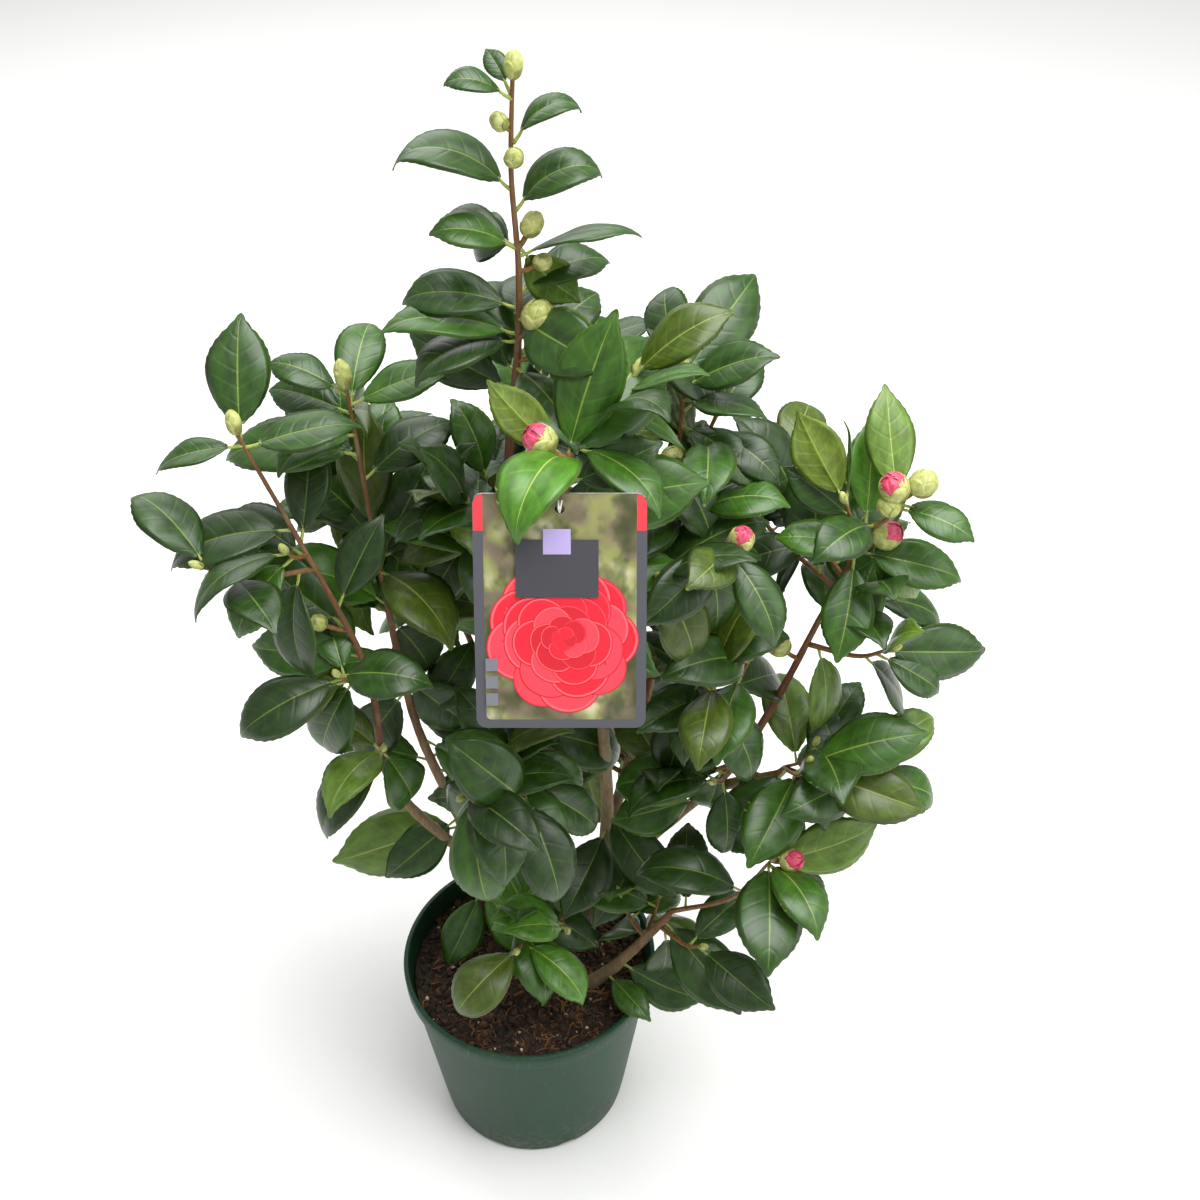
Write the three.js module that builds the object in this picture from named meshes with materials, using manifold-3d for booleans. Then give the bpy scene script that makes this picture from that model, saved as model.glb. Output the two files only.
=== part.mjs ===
// A camellia shrub in its nursery pot: several stems from one root, boughs, and masses of foliage.
// Millimetres, +Z up, the front towards -Y. The origin is the middle of the pot's flat underside.
import * as THREE from 'three';
import { mergeVertices } from 'three/addons/utils/BufferGeometryUtils.js';
import Module from 'manifold-3d';

// ---- Driving dimensions ----

// Clearance that neighbouring pieces keep from each other.
const GAP = 0.35;

// Thermoformed nursery pot with a rim band, a bevelled foot and drain notches round the foot.
const POT = {
  height: 158,
  rimRadius: 95,
  baseRadius: 71,
  footBevel: 3.5,
  wall: 1.8,
  floor: 2.4,
  rimBand: 13,
  rimStep: 2.2,
  bandBulge: 0.9,
  bandRound: 2,
  rimRound: 1.2,
  rimEdge: 1,
  lip: 3.2,
  segments: 30,
};
const DRAIN = { count: 8, width: 15, height: 5, reach: 7 };

// Compost, level round the stems and hollowed a little elsewhere.
const SOIL = { level: 141, rings: 6, hollow: 5, bareRadius: 20 };
// Two crossing waves make the hollows: their heights as parts of the hollow, lengths and starts.
const WAVES = { mean: 0.5, height: 0.25, lengthX: 11, lengthY: 9, slant: 23, start: 1.3 };

// Stems: how the foot flares out, and how many sides and lengths a limb is made of.
const FLARE = { amount: 0.55, height: 11, sunk: 8 };
const LIMB = { sides: 6, stepLength: 56, leastSteps: 4, extraSteps: 2 };

// A block wider than the plant, which cuts the standing stems flat where they meet the compost.
const GROUND = { width: 400, depth: 40 };

// Each limb: the points it runs through, its radius at foot and tip, the limb it grows from, and the
// mass it ends in. A limb with no parent stands on the compost. A limb with no mass runs on to its bud.
const LIMBS = {
  trunk: {
    route: [[16, 50, 141], [12, 45, 312], [2, 26, 480], [1, 8, 620], [13, 0, 715], [8, 0, 770], [12, 0, 841]],
    radii: [7.2, 1.5],
  },
  left_inner_stem: {
    route: [[-35, 53, 141], [-47, 43, 250], [-70, 32, 350], [-80, 26, 448], [-84, 18, 545], [-88, 8, 652]],
    radii: [5.6, 1.6],
  },
  left_outer_bough: {
    route: [
      [-42, 45, 212], [-69, 25, 271], [-91, -2, 352], [-90, -18, 457], [-112, -28, 552], [-142, -34, 650],
    ],
    radii: [4.4, 1.5],
    parent: 'left_inner_stem',
  },
  centre_stem: {
    route: [[40, 42, 141], [57, 36, 240], [56, 15, 367], [47, -10, 480], [34, -45, 606], [36, -56, 660]],
    radii: [6.4, 2.2],
    endsIn: 'leaves_upper_centre',
  },
  right_bough: {
    route: [[46, 41, 176], [99, 30, 265], [138, 20, 326], [163, 11, 392], [188, 2, 483], [212, 0, 560]],
    radii: [5.4, 2.0],
    parent: 'centre_stem',
    endsIn: 'leaves_right_top',
  },
  right_side_branch: {
    route: [[133, 22, 316], [171, 0, 350], [201, -16, 394]],
    radii: [3.6, 2.2],
    parent: 'right_bough',
    endsIn: 'leaves_right_low',
  },
  low_right_bough: {
    route: [[41, -15, 141], [64, -22, 169], [100, -36, 243], [129, -46, 297], [168, -56, 333]],
    radii: [4.8, 2.0],
    endsIn: 'leaves_low_right',
  },
  inner_right_branch: {
    route: [[124, 24, 300], [124, 8, 400], [131, -6, 480]],
    radii: [3.2, 2.0],
    parent: 'right_bough',
    endsIn: 'leaves_inner_right',
  },
  upper_right_bough: {
    route: [[56, 15, 370], [72, 22, 450], [88, 26, 540], [104, 28, 612]],
    radii: [4.2, 2.0],
    parent: 'centre_stem',
    endsIn: 'leaves_upper_right',
  },
  back_left_bough: {
    route: [[14, 50, 240], [-22, 84, 340], [-54, 98, 440]],
    radii: [4.6, 2.4],
    parent: 'trunk',
    endsIn: 'leaves_back_left',
  },
  back_bough: {
    route: [[10, 42, 320], [20, 75, 420], [24, 98, 530]],
    radii: [4.6, 2.4],
    parent: 'trunk',
    endsIn: 'leaves_back_top',
  },
  back_right_bough: {
    route: [[57, 36, 240], [82, 78, 320], [100, 98, 412]],
    radii: [4.8, 2.4],
    parent: 'centre_stem',
    endsIn: 'leaves_back_right',
  },
};

// Masses of foliage: middle, half-sizes along X, Y and Z, and how many lobes the outline has.
const MASSES = {
  leaves_top: { middle: [14, 0, 825], half: [28, 28, 25], lobes: 5 },
  leaves_leader_upper: { middle: [-2, 0, 783], half: [56, 32, 23], lobes: 5 },
  leaves_leader_middle: { middle: [20, -2, 733], half: [66, 38, 28], lobes: 6 },
  leaves_leader_low: { middle: [-14, 12, 674], half: [52, 48, 38], lobes: 8 },
  leaves_upper_centre: { middle: [46, -50, 689], half: [56, 48, 48], lobes: 9 },
  leaves_upper_right: { middle: [110, 30, 646], half: [50, 50, 66], lobes: 9 },
  leaves_left_inner_top: { middle: [-86, 2, 624], half: [50, 46, 50], lobes: 8 },
  leaves_left_outer_top: { middle: [-144, -38, 652], half: [40, 42, 58], lobes: 7 },
  leaves_left_outer_low: { middle: [-148, -48, 566], half: [60, 46, 46], lobes: 8 },
  leaves_left_middle: { middle: [-66, 0, 512], half: [42, 46, 62], lobes: 9 },
  leaves_left_low: { middle: [-108, -40, 472], half: [60, 46, 50], lobes: 8 },
  leaves_left_foot: { middle: [-97, -48, 376], half: [56, 46, 50], lobes: 8 },
  leaves_centre_left: { middle: [-26, 30, 556], half: [36, 40, 62], lobes: 9 },
  leaves_front_low: { middle: [-16, -46, 372], half: [60, 44, 66], lobes: 9 },
  leaves_foot_front: { middle: [2, -34, 216], half: [66, 42, 56], lobes: 9 },
  leaves_foot_right: { middle: [84, -6, 224], half: [38, 32, 42], lobes: 7 },
  leaves_centre_right: { middle: [104, -26, 566], half: [60, 48, 48], lobes: 8 },
  leaves_inner_right: { middle: [126, -16, 464], half: [48, 44, 54], lobes: 8 },
  leaves_right_top: { middle: [208, 0, 608], half: [54, 46, 52], lobes: 8 },
  leaves_right_middle: { middle: [236, -12, 508], half: [58, 48, 56], lobes: 8 },
  leaves_right_low: { middle: [208, -32, 390], half: [62, 50, 66], lobes: 9 },
  leaves_lower_right: { middle: [108, -26, 362], half: [56, 36, 44], lobes: 8 },
  leaves_low_right: { middle: [150, -62, 262], half: [68, 48, 74], lobes: 9 },
  leaves_centre_front: { middle: [26, -58, 540], half: [44, 38, 52], lobes: 8 },
  leaves_back_top: { middle: [34, 96, 590], half: [68, 56, 66], lobes: 10 },
  leaves_back_left: { middle: [-62, 104, 462], half: [60, 60, 62], lobes: 10 },
  leaves_back_left_top: { middle: [-108, 74, 560], half: [44, 46, 50], lobes: 8 },
  leaves_back_right: { middle: [122, 112, 440], half: [64, 60, 60], lobes: 10 },
  leaves_back_right_top: { middle: [160, 76, 540], half: [46, 44, 52], lobes: 8 },
  leaves_back_middle: { middle: [30, 142, 440], half: [46, 46, 66], lobes: 9 },
  leaves_back_low: { middle: [34, 112, 306], half: [70, 50, 54], lobes: 9 },
};
const MASS_DETAIL = 2;
// Lobes are spread over a mass by the golden angle, each mass turned from the next and each lobe a bit.
const LOBE = { hollow: 0.76, sharpness: 5, goldenAngle: 2.39996, turnPerMass: 1.7, unevenTurn: 0.5 };

// Picture label on a card, tied to the centre stem, leaning out on the leaves.
const LABEL = {
  width: 88,
  height: 124,
  thickness: 0.9,
  corner: 5,
  holeRadius: 2.6,
  holeInset: 8,
  middle: [33, -127, 602],
  leanBack: 24,
};
const TIE = {
  radius: 0.9,
  steps: 6,
  route: [[33, -112, 649], [33, -100, 656], [34, -78, 652], [36, -57, 641]],
};

const COLOUR = {
  pot: 0x2f6b50,
  soil: 0x2e211a,
  bark: 0x7d6348,
  shoot: 0x8a5a3a,
  leaf: 0x2b5732,
  card: 0x57585e,
  tie: 0xe8e8e2,
};
const ROUGHNESS = { pot: 0.55, soil: 0.95, bark: 0.8, leaf: 0.5, card: 0.4, tie: 0.5 };

// ---- Solids ----

const wasm = await Module();
wasm.setup();

/** Turns a closed geometry into a solid that can be joined and cut. */
function toSolid(geometry) {
  const bare = geometry.clone();
  bare.deleteAttribute('normal');
  bare.deleteAttribute('uv');
  const merged = mergeVertices(bare, 1e-4);
  return new wasm.Manifold(new wasm.Mesh({
    numProp: 3,
    vertProperties: new Float32Array(merged.attributes.position.array),
    triVerts: new Uint32Array(merged.index.array),
  }));
}

/** Turns a solid back into a geometry, keeping the largest piece where a cut has parted it. */
function toGeometry(solid) {
  const pieces = solid.decompose().sort((a, b) => b.volume() - a.volume());
  const mesh = pieces[0].getMesh();
  const geometry = new THREE.BufferGeometry();
  geometry.setAttribute('position', new THREE.BufferAttribute(new Float32Array(mesh.vertProperties), 3));
  geometry.setIndex(new THREE.BufferAttribute(new Uint32Array(mesh.triVerts), 1));
  geometry.computeVertexNormals();
  return geometry;
}

/** A number from 0 to 1 that is always the same for the same seed and index. */
function steadyNumber(seed, index) {
  const wave = Math.sin(seed * 12.9898 + index * 78.233) * 43758.5453;
  return wave - Math.floor(wave);
}

function boxesMeet(a, b) {
  const first = a.boundingBox();
  const second = b.boundingBox();
  return [0, 1, 2].every((i) => first.min[i] <= second.max[i] && second.min[i] <= first.max[i]);
}

// ---- Pot and compost ----

function potRadius(z) {
  const bodyTop = POT.rimRadius - POT.rimStep;
  return POT.baseRadius + (bodyTop - POT.baseRadius) * (z / POT.height);
}

function turned(profile, segments) {
  const geometry = new THREE.LatheGeometry(profile.map(([r, z]) => new THREE.Vector2(r, z)), segments);
  return geometry.rotateX(Math.PI / 2);
}

function makePot() {
  const bandFoot = POT.height - POT.rimBand;
  const shell = toSolid(turned([
    [0, 0],
    [POT.baseRadius - POT.footBevel, 0],
    [potRadius(POT.footBevel), POT.footBevel],
    [potRadius(bandFoot), bandFoot],
    [POT.rimRadius - POT.bandBulge, bandFoot + POT.bandRound],
    [POT.rimRadius, POT.height - POT.rimRound],
    [POT.rimRadius - POT.rimEdge, POT.height],
    [POT.rimRadius - POT.lip, POT.height],
    [potRadius(bandFoot) - POT.wall, bandFoot],
    [potRadius(POT.floor) - POT.wall, POT.floor],
    [0, POT.floor],
  ], POT.segments));
  let pot = shell;
  for (let i = 0; i < DRAIN.count; i += 1) {
    const notch = new THREE.BoxGeometry(2 * DRAIN.reach, DRAIN.width, 2 * DRAIN.height);
    notch.translate(POT.baseRadius, 0, 0);
    notch.rotateZ(((i + 0.5) * 2 * Math.PI) / DRAIN.count);
    pot = pot.subtract(toSolid(notch));
  }
  return pot;
}

/** The room that the whole pot takes up, which the foliage keeps out of. */
function potRoom() {
  const radius = POT.rimRadius + GAP;
  const top = POT.height + GAP;
  return toSolid(turned([[0, -1], [radius, -1], [radius, top], [0, top]], POT.segments));
}

/** How far the compost lies below its level: nothing near a stem's foot, hollows elsewhere. */
function soilDip(x, y) {
  const feet = Object.values(LIMBS).filter((limb) => !limb.parent).map((limb) => limb.route[0]);
  const nearest = Math.min(...feet.map(([fx, fy]) => Math.hypot(x - fx, y - fy)));
  const clear = THREE.MathUtils.smoothstep(nearest, SOIL.bareRadius, 2 * SOIL.bareRadius);
  const across = Math.sin(x / WAVES.lengthX + WAVES.start);
  const along = Math.cos(y / WAVES.lengthY - x / WAVES.slant);
  return SOIL.hollow * clear * (WAVES.mean + WAVES.height * across + WAVES.height * along);
}

function makeSoil() {
  const foot = POT.floor + GAP;
  const innerRadius = (z) => potRadius(z) - POT.wall - GAP;
  const profile = [[0, foot], [innerRadius(foot), foot], [innerRadius(SOIL.level), SOIL.level]];
  for (let ring = SOIL.rings - 1; ring > 0; ring -= 1) {
    profile.push([(innerRadius(SOIL.level) * ring) / SOIL.rings, SOIL.level]);
  }
  profile.push([0, SOIL.level]);
  const geometry = turned(profile, POT.segments / 2);
  const position = geometry.attributes.position;
  for (let i = 0; i < position.count; i += 1) {
    if (position.getZ(i) > SOIL.level - 1) {
      const [x, y] = [position.getX(i), position.getY(i)];
      const z = SOIL.level - soilDip(x, y);
      const inward = innerRadius(z) / innerRadius(SOIL.level);
      position.setXYZ(i, x * inward, y * inward, z);
    }
  }
  return toSolid(geometry);
}

// ---- Limbs ----

/** A tapering tube along a limb's route, made larger all round by the given swell. */
function limbSolid(limb, swell = 0) {
  const points = limb.route.map((p) => new THREE.Vector3(...p));
  if (!limb.parent) {
    points[0].z -= FLARE.sunk;
  }
  const curve = new THREE.CatmullRomCurve3(points, false, 'centripetal');
  const steps = Math.max(LIMB.leastSteps, Math.round(curve.getLength() / LIMB.stepLength) + LIMB.extraSteps);
  const frames = curve.computeFrenetFrames(steps, false);
  const geometry = new THREE.CylinderGeometry(1, 1, 1, LIMB.sides, steps);
  const position = geometry.attributes.position;
  const [footRadius, tipRadius] = limb.radii;
  for (let i = 0; i < position.count; i += 1) {
    const step = Math.round((position.getY(i) + 0.5) * steps);
    const along = step / steps;
    const centre = curve.getPointAt(along);
    const rise = centre.z - points[0].z;
    const flare = limb.parent ? 0 : FLARE.amount * Math.exp(-Math.max(0, rise - FLARE.sunk) / FLARE.height);
    const radius = THREE.MathUtils.lerp(footRadius, tipRadius, along) * (1 + flare) + swell;
    centre.addScaledVector(frames.normals[step], position.getX(i) * radius);
    centre.addScaledVector(frames.binormals[step], -position.getZ(i) * radius);
    position.setXYZ(i, centre.x, centre.y, centre.z);
  }
  const tube = toSolid(geometry);
  if (limb.parent) {
    return tube;
  }
  const ground = new THREE.BoxGeometry(GROUND.width, GROUND.width, GROUND.depth);
  ground.translate(0, 0, SOIL.level + GAP - swell - GROUND.depth / 2);
  return tube.subtract(toSolid(ground));
}

// ---- Foliage ----

/** A lobed, uneven solid that fills the mass's half-sizes, made larger all round by the given swell. */
function massSolid(name, swell = 0) {
  const { middle, half, lobes } = MASSES[name];
  const seed = Object.keys(MASSES).indexOf(name) + 1;
  const lobeDirections = [];
  for (let k = 0; k < lobes; k += 1) {
    const height = 1 - (2 * k + 1) / lobes;
    const uneven = LOBE.unevenTurn * steadyNumber(seed, k);
    const turn = k * LOBE.goldenAngle + seed * LOBE.turnPerMass + uneven;
    const flat = Math.sqrt(1 - height * height);
    lobeDirections.push(new THREE.Vector3(flat * Math.cos(turn), flat * Math.sin(turn), height));
  }
  const geometry = new THREE.IcosahedronGeometry(1, MASS_DETAIL);
  const position = geometry.attributes.position;
  const direction = new THREE.Vector3();
  for (let i = 0; i < position.count; i += 1) {
    direction.fromBufferAttribute(position, i).normalize();
    const nearest = Math.max(...lobeDirections.map((lobe) => lobe.dot(direction)));
    const reach = LOBE.hollow + (1 - LOBE.hollow) * Math.exp(LOBE.sharpness * (nearest - 1));
    const [x, y, z] = direction.toArray().map((d, axis) => middle[axis] + d * (half[axis] * reach + swell));
    position.setXYZ(i, x, y, z);
  }
  return toSolid(geometry);
}

// ---- Label ----

function labelOutline(swell) {
  const w = LABEL.width / 2 + swell;
  const h = LABEL.height / 2 + swell;
  const r = LABEL.corner + swell;
  const outline = new THREE.Shape();
  outline.absarc(w - r, h - r, r, 0, Math.PI / 2);
  outline.absarc(r - w, h - r, r, Math.PI / 2, Math.PI);
  outline.absarc(r - w, r - h, r, Math.PI, 1.5 * Math.PI);
  outline.absarc(w - r, r - h, r, 1.5 * Math.PI, 2 * Math.PI);
  return outline;
}

function labelSolid(swell = 0) {
  const outline = labelOutline(swell);
  if (!swell) {
    const hole = new THREE.Path();
    hole.absarc(0, LABEL.height / 2 - LABEL.holeInset, LABEL.holeRadius, 0, 2 * Math.PI, true);
    outline.holes.push(hole);
  }
  const depth = LABEL.thickness + 2 * swell;
  const geometry = new THREE.ExtrudeGeometry(outline, { depth, bevelEnabled: false, curveSegments: 2 });
  geometry.translate(0, 0, -depth / 2);
  geometry.rotateX(THREE.MathUtils.degToRad(90 - LABEL.leanBack));
  geometry.translate(...LABEL.middle);
  return toSolid(geometry);
}

function tieSolid(swell = 0) {
  const curve = new THREE.CatmullRomCurve3(TIE.route.map((p) => new THREE.Vector3(...p)));
  const section = new THREE.Shape();
  section.absarc(0, 0, TIE.radius + swell, 0, 2 * Math.PI);
  const options = { extrudePath: curve, steps: TIE.steps, bevelEnabled: false, curveSegments: 2 };
  return toSolid(new THREE.ExtrudeGeometry(section, options));
}

// ---- Assembly ----

const cutAround = (solid, others) => others
  .filter((other) => boxesMeet(solid, other))
  .reduce((rest, other) => rest.subtract(other), solid);

function makeLimbs() {
  const limbs = {};
  const grown = [];
  for (const [name, limb] of Object.entries(LIMBS)) {
    const trimmers = limb.endsIn ? [massSolid(limb.endsIn, GAP)] : [];
    limbs[name] = cutAround(limbSolid(limb), [...grown, ...trimmers]);
    grown.push(limbSolid(limb, GAP));
  }
  return { limbs, grown };
}

function makeMasses(obstacles) {
  const masses = {};
  const placed = [...obstacles];
  for (const name of Object.keys(MASSES)) {
    const limbsEnding = Object.values(LIMBS).filter((limb) => limb.endsIn === name);
    const clear = placed.filter((other) => !limbsEnding.includes(other.limb));
    masses[name] = cutAround(massSolid(name), clear.map((other) => other.solid));
    placed.push({ solid: massSolid(name, GAP) });
  }
  return masses;
}

function addMesh(group, name, solid, colour, roughness) {
  const material = new THREE.MeshStandardMaterial({ color: colour, roughness, metalness: 0 });
  const mesh = new THREE.Mesh(toGeometry(solid), material);
  mesh.name = name;
  group.add(mesh);
}

const { limbs, grown } = makeLimbs();
const obstacles = Object.values(LIMBS).map((limb, i) => ({ limb, solid: grown[i] }));
obstacles.push({ solid: labelSolid(GAP) }, { solid: tieSolid(GAP) }, { solid: potRoom() });
const masses = makeMasses(obstacles);

const shrub = new THREE.Group();
addMesh(shrub, 'pot', makePot(), COLOUR.pot, ROUGHNESS.pot);
addMesh(shrub, 'soil', makeSoil(), COLOUR.soil, ROUGHNESS.soil);
for (const [name, solid] of Object.entries(limbs)) {
  addMesh(shrub, name, solid, LIMBS[name].parent ? COLOUR.shoot : COLOUR.bark, ROUGHNESS.bark);
}
for (const [name, solid] of Object.entries(masses)) {
  addMesh(shrub, name, solid, COLOUR.leaf, ROUGHNESS.leaf);
}
addMesh(shrub, 'label', labelSolid().subtract(tieSolid(GAP)), COLOUR.card, ROUGHNESS.card);
addMesh(shrub, 'label_tie', cutAround(tieSolid(), grown), COLOUR.tie, ROUGHNESS.tie);

export default shrub;
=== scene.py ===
import math
import random
from collections import namedtuple
from functools import lru_cache

import bpy
import numpy as np
from bpy.props import FloatProperty, FloatVectorProperty, IntProperty, PointerProperty
from bpy.types import Operator, Panel, PropertyGroup
from mathutils import Matrix, Quaternion, Vector, noise


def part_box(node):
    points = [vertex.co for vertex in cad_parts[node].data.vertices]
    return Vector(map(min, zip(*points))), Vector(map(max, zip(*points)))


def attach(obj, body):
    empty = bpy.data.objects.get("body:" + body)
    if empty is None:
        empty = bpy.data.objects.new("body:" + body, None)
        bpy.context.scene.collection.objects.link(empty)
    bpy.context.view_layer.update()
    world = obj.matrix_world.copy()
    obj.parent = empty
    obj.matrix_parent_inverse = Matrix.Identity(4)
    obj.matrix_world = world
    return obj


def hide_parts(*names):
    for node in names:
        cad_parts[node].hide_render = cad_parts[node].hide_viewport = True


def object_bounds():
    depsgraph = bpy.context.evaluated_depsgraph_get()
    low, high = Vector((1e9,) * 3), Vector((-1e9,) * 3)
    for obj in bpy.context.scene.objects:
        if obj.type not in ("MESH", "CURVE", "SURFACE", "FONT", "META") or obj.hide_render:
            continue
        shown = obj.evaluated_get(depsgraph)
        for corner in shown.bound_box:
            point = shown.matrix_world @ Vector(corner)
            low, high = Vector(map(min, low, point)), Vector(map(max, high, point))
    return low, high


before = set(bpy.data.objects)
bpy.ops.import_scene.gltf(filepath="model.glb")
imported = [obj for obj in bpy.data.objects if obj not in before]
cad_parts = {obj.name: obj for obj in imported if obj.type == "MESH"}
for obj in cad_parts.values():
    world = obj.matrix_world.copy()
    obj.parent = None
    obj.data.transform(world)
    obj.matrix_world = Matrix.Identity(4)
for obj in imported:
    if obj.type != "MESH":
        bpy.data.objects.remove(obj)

bl_info = {
    "name": "Potted Camellia",
    "version": (1, 0, 0),
    "blender": (4, 5, 0),
    "location": "3D View > Sidebar > Camellia",
    "description": "Grows a potted camellia shrub round the packed model of its stems, foliage and pot",
    "category": "Object",
}

MM = 0.001
UP = Vector((0, 0, 1))
GOLDEN = math.radians(137.5)
CAD_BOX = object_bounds()
BAKE_MAP = "OFBake"

# ---------------------------------------------------------------- growth table

# How one mass of foliage grows: the limb that carries it, how many side shoots it has (0: its leaves
# sit on the limb itself), the leaves on each shoot, their mean length in mm, the seed of its random
# choices, and which mix of leaf tints it wears.
Spray = namedtuple("Spray", "limb shoots leaves length seed mix")

SPRAYS = {
    "leaves_top": Spray("trunk", 0, 0, 52, 3, "dark"),
    "leaves_leader_upper": Spray("trunk", 0, 0, 72, 5, "dark"),
    "leaves_leader_middle": Spray("trunk", 0, 0, 76, 7, "dark"),
    "leaves_leader_low": Spray("trunk", 0, 6, 74, 2, "dark"),
    "leaves_upper_centre": Spray("centre_stem", 1, 5, 82, 4, "middle"),
    "leaves_upper_right": Spray("upper_right_bough", 2, 7, 76, 6, "dark"),
    "leaves_left_inner_top": Spray("left_inner_stem", 0, 3, 80, 8, "dark"),
    "leaves_left_outer_top": Spray("left_outer_bough", 0, 0, 74, 9, "dark"),
    "leaves_left_outer_low": Spray("left_outer_bough", 2, 3, 82, 10, "dark"),
    "leaves_left_middle": Spray("left_inner_stem", 0, 7, 84, 11, "dark"),
    "leaves_left_low": Spray("left_outer_bough", 1, 6, 78, 12, "dark"),
    "leaves_left_foot": Spray("left_outer_bough", 1, 4, 76, 13, "aged"),
    "leaves_centre_left": Spray("trunk", 3, 7, 82, 14, "dark"),
    "leaves_front_low": Spray("trunk", 3, 7, 80, 15, "dark"),
    "leaves_foot_front": Spray("trunk", 3, 5, 72, 16, "fresh"),
    "leaves_foot_right": Spray("low_right_bough", 2, 4, 66, 17, "middle"),
    "leaves_centre_right": Spray("upper_right_bough", 3, 7, 80, 18, "dark"),
    "leaves_inner_right": Spray("inner_right_branch", 3, 6, 78, 19, "dark"),
    "leaves_right_top": Spray("right_bough", 2, 1, 74, 20, "fresh"),
    "leaves_right_middle": Spray("right_bough", 2, 5, 74, 21, "middle"),
    "leaves_right_low": Spray("right_side_branch", 3, 6, 82, 22, "middle"),
    "leaves_lower_right": Spray("right_bough", 2, 6, 78, 23, "dark"),
    "leaves_low_right": Spray("low_right_bough", 2, 3, 74, 24, "dark"),
    "leaves_centre_front": Spray("centre_stem", 2, 6, 74, 25, "middle"),
    "leaves_back_top": Spray("back_bough", 4, 6, 82, 26, "dark"),
    "leaves_back_left": Spray("back_left_bough", 4, 6, 82, 27, "dark"),
    "leaves_back_left_top": Spray("left_inner_stem", 3, 6, 80, 28, "dark"),
    "leaves_back_right": Spray("back_right_bough", 4, 6, 80, 29, "dark"),
    "leaves_back_right_top": Spray("right_bough", 3, 6, 80, 30, "dark"),
    "leaves_back_middle": Spray("back_bough", 4, 6, 72, 31, "dark"),
    "leaves_back_low": Spray("back_right_bough", 4, 6, 80, 32, "dark"),
}

# Leaf tints: slot name to the albedo of the blade and of its veins.
TINTS = {
    "leaf_deep": ("#1f380d", "#6f8a35"),
    "leaf_dark": ("#264410", "#7d953c"),
    "leaf_middle": ("#325713", "#8ba542"),
    "leaf_fresh": ("#427018", "#a5bd50"),
    "leaf_olive": ("#405310", "#93a045"),
    "leaf_bleached": ("#587528", "#a9b560"),
    "leaf_under": ("#4c6a1c", "#93a650"),
    "leaf_under_olive": ("#536818", "#8f9e40"),
}
TOP_TINTS = [name for name in TINTS if "under" not in name]
UNDER_TINTS = [name for name in TINTS if "under" in name]
MIXES = {
    "dark": (4, 5, 2, 0, 1, 0),
    "middle": (1, 4, 5, 1, 1, 1),
    "fresh": (0, 1, 4, 5, 1, 0),
    "aged": (1, 3, 3, 0, 2, 3),
}

# Round flower buds: the limb (by name) or the mass and number of the shoot that carries each, how high on
# the limb in mm or how far along the shoot, the side it points to and how steeply it rises in degrees
# (as for leaves), the length of its spur and its radius in mm, how far its pink petals show from 0 to 1,
# and how much longer than wide it is.
FlowerBud = namedtuple("FlowerBud", "carrier place side rise spur radius pink long")

FLOWER_BUDS = (
    ("trunk", 829, 40, 82, 0, 4.6, 0.0, 1.6),
    ("trunk", 804, 188, 35, 2, 4.2, 0.0, 1.25),
    ("trunk", 786, 290, 45, 2, 4.6, 0.0, 1.3),
    ("trunk", 741, 5, 55, 7, 5.4, 0.0, 1.4),
    ("trunk", 728, 355, 20, 8, 4.4, 0.0, 1.15),
    ("trunk", 686, 320, 50, 14, 8.2, 0.0, 1.15),
    ("trunk", 672, 335, 30, 18, 6.8, 0.0, 1.15),
    ("centre_stem", 656, 195, 40, 9, 8.6, 0.55, 1.05),
    ("left_inner_stem", 650, 150, 80, 0, 4.8, 0.0, 2.0),
    ("left_outer_bough", 648, 140, 75, 0, 4.2, 0.0, 1.8),
    ("left_outer_bough", 500, 185, 20, 12, 5.0, 0.0, 1.1),
    ("upper_right_bough", 606, 250, 30, 5, 6.8, 0.0, 1.1),
    ("upper_right_bough", 594, 280, 10, 7, 7.2, 0.8, 1.05),
    (("leaves_centre_right", 0), 1.0, 300, 60, 2, 7.2, 0.3, 1.25),
    ("right_bough", 452, 205, 45, 14, 7.4, 0.4, 1.2),
    ("inner_right_branch", 384, 300, 15, 6, 6.4, 0.7, 1.05),
    (("leaves_low_right", 0), 1.0, 330, 25, 8, 7.4, 0.9, 1.05),
    (("leaves_right_top", 1), 1.0, 215, 55, 3, 8.6, 0.35, 1.08),
    (("leaves_right_top", 1), 0.97, 350, 45, 9, 8.0, 0.0, 1.08),
    (("leaves_right_top", 1), 0.85, 230, 20, 3, 6.6, 0.0, 1.08),
    ("right_bough", 544, 345, 35, 11, 8.2, 0.6, 1.1),
)

# Limbs whose front is left open, with the heights in mm between which leaves keep clear of it.
OPEN_LIMBS = {
    "left_inner_stem": (170, 640),
    "left_outer_bough": (400, 640),
    "centre_stem": (290, 380),
    "right_bough": (300, 550),
    "right_side_branch": (325, 380),
    "low_right_bough": (150, 290),
    "trunk": (560, 840),
}
FRONT = Vector((0, -0.77, 0.64))  # the way to the front and up, from which the open limbs are seen

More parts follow.
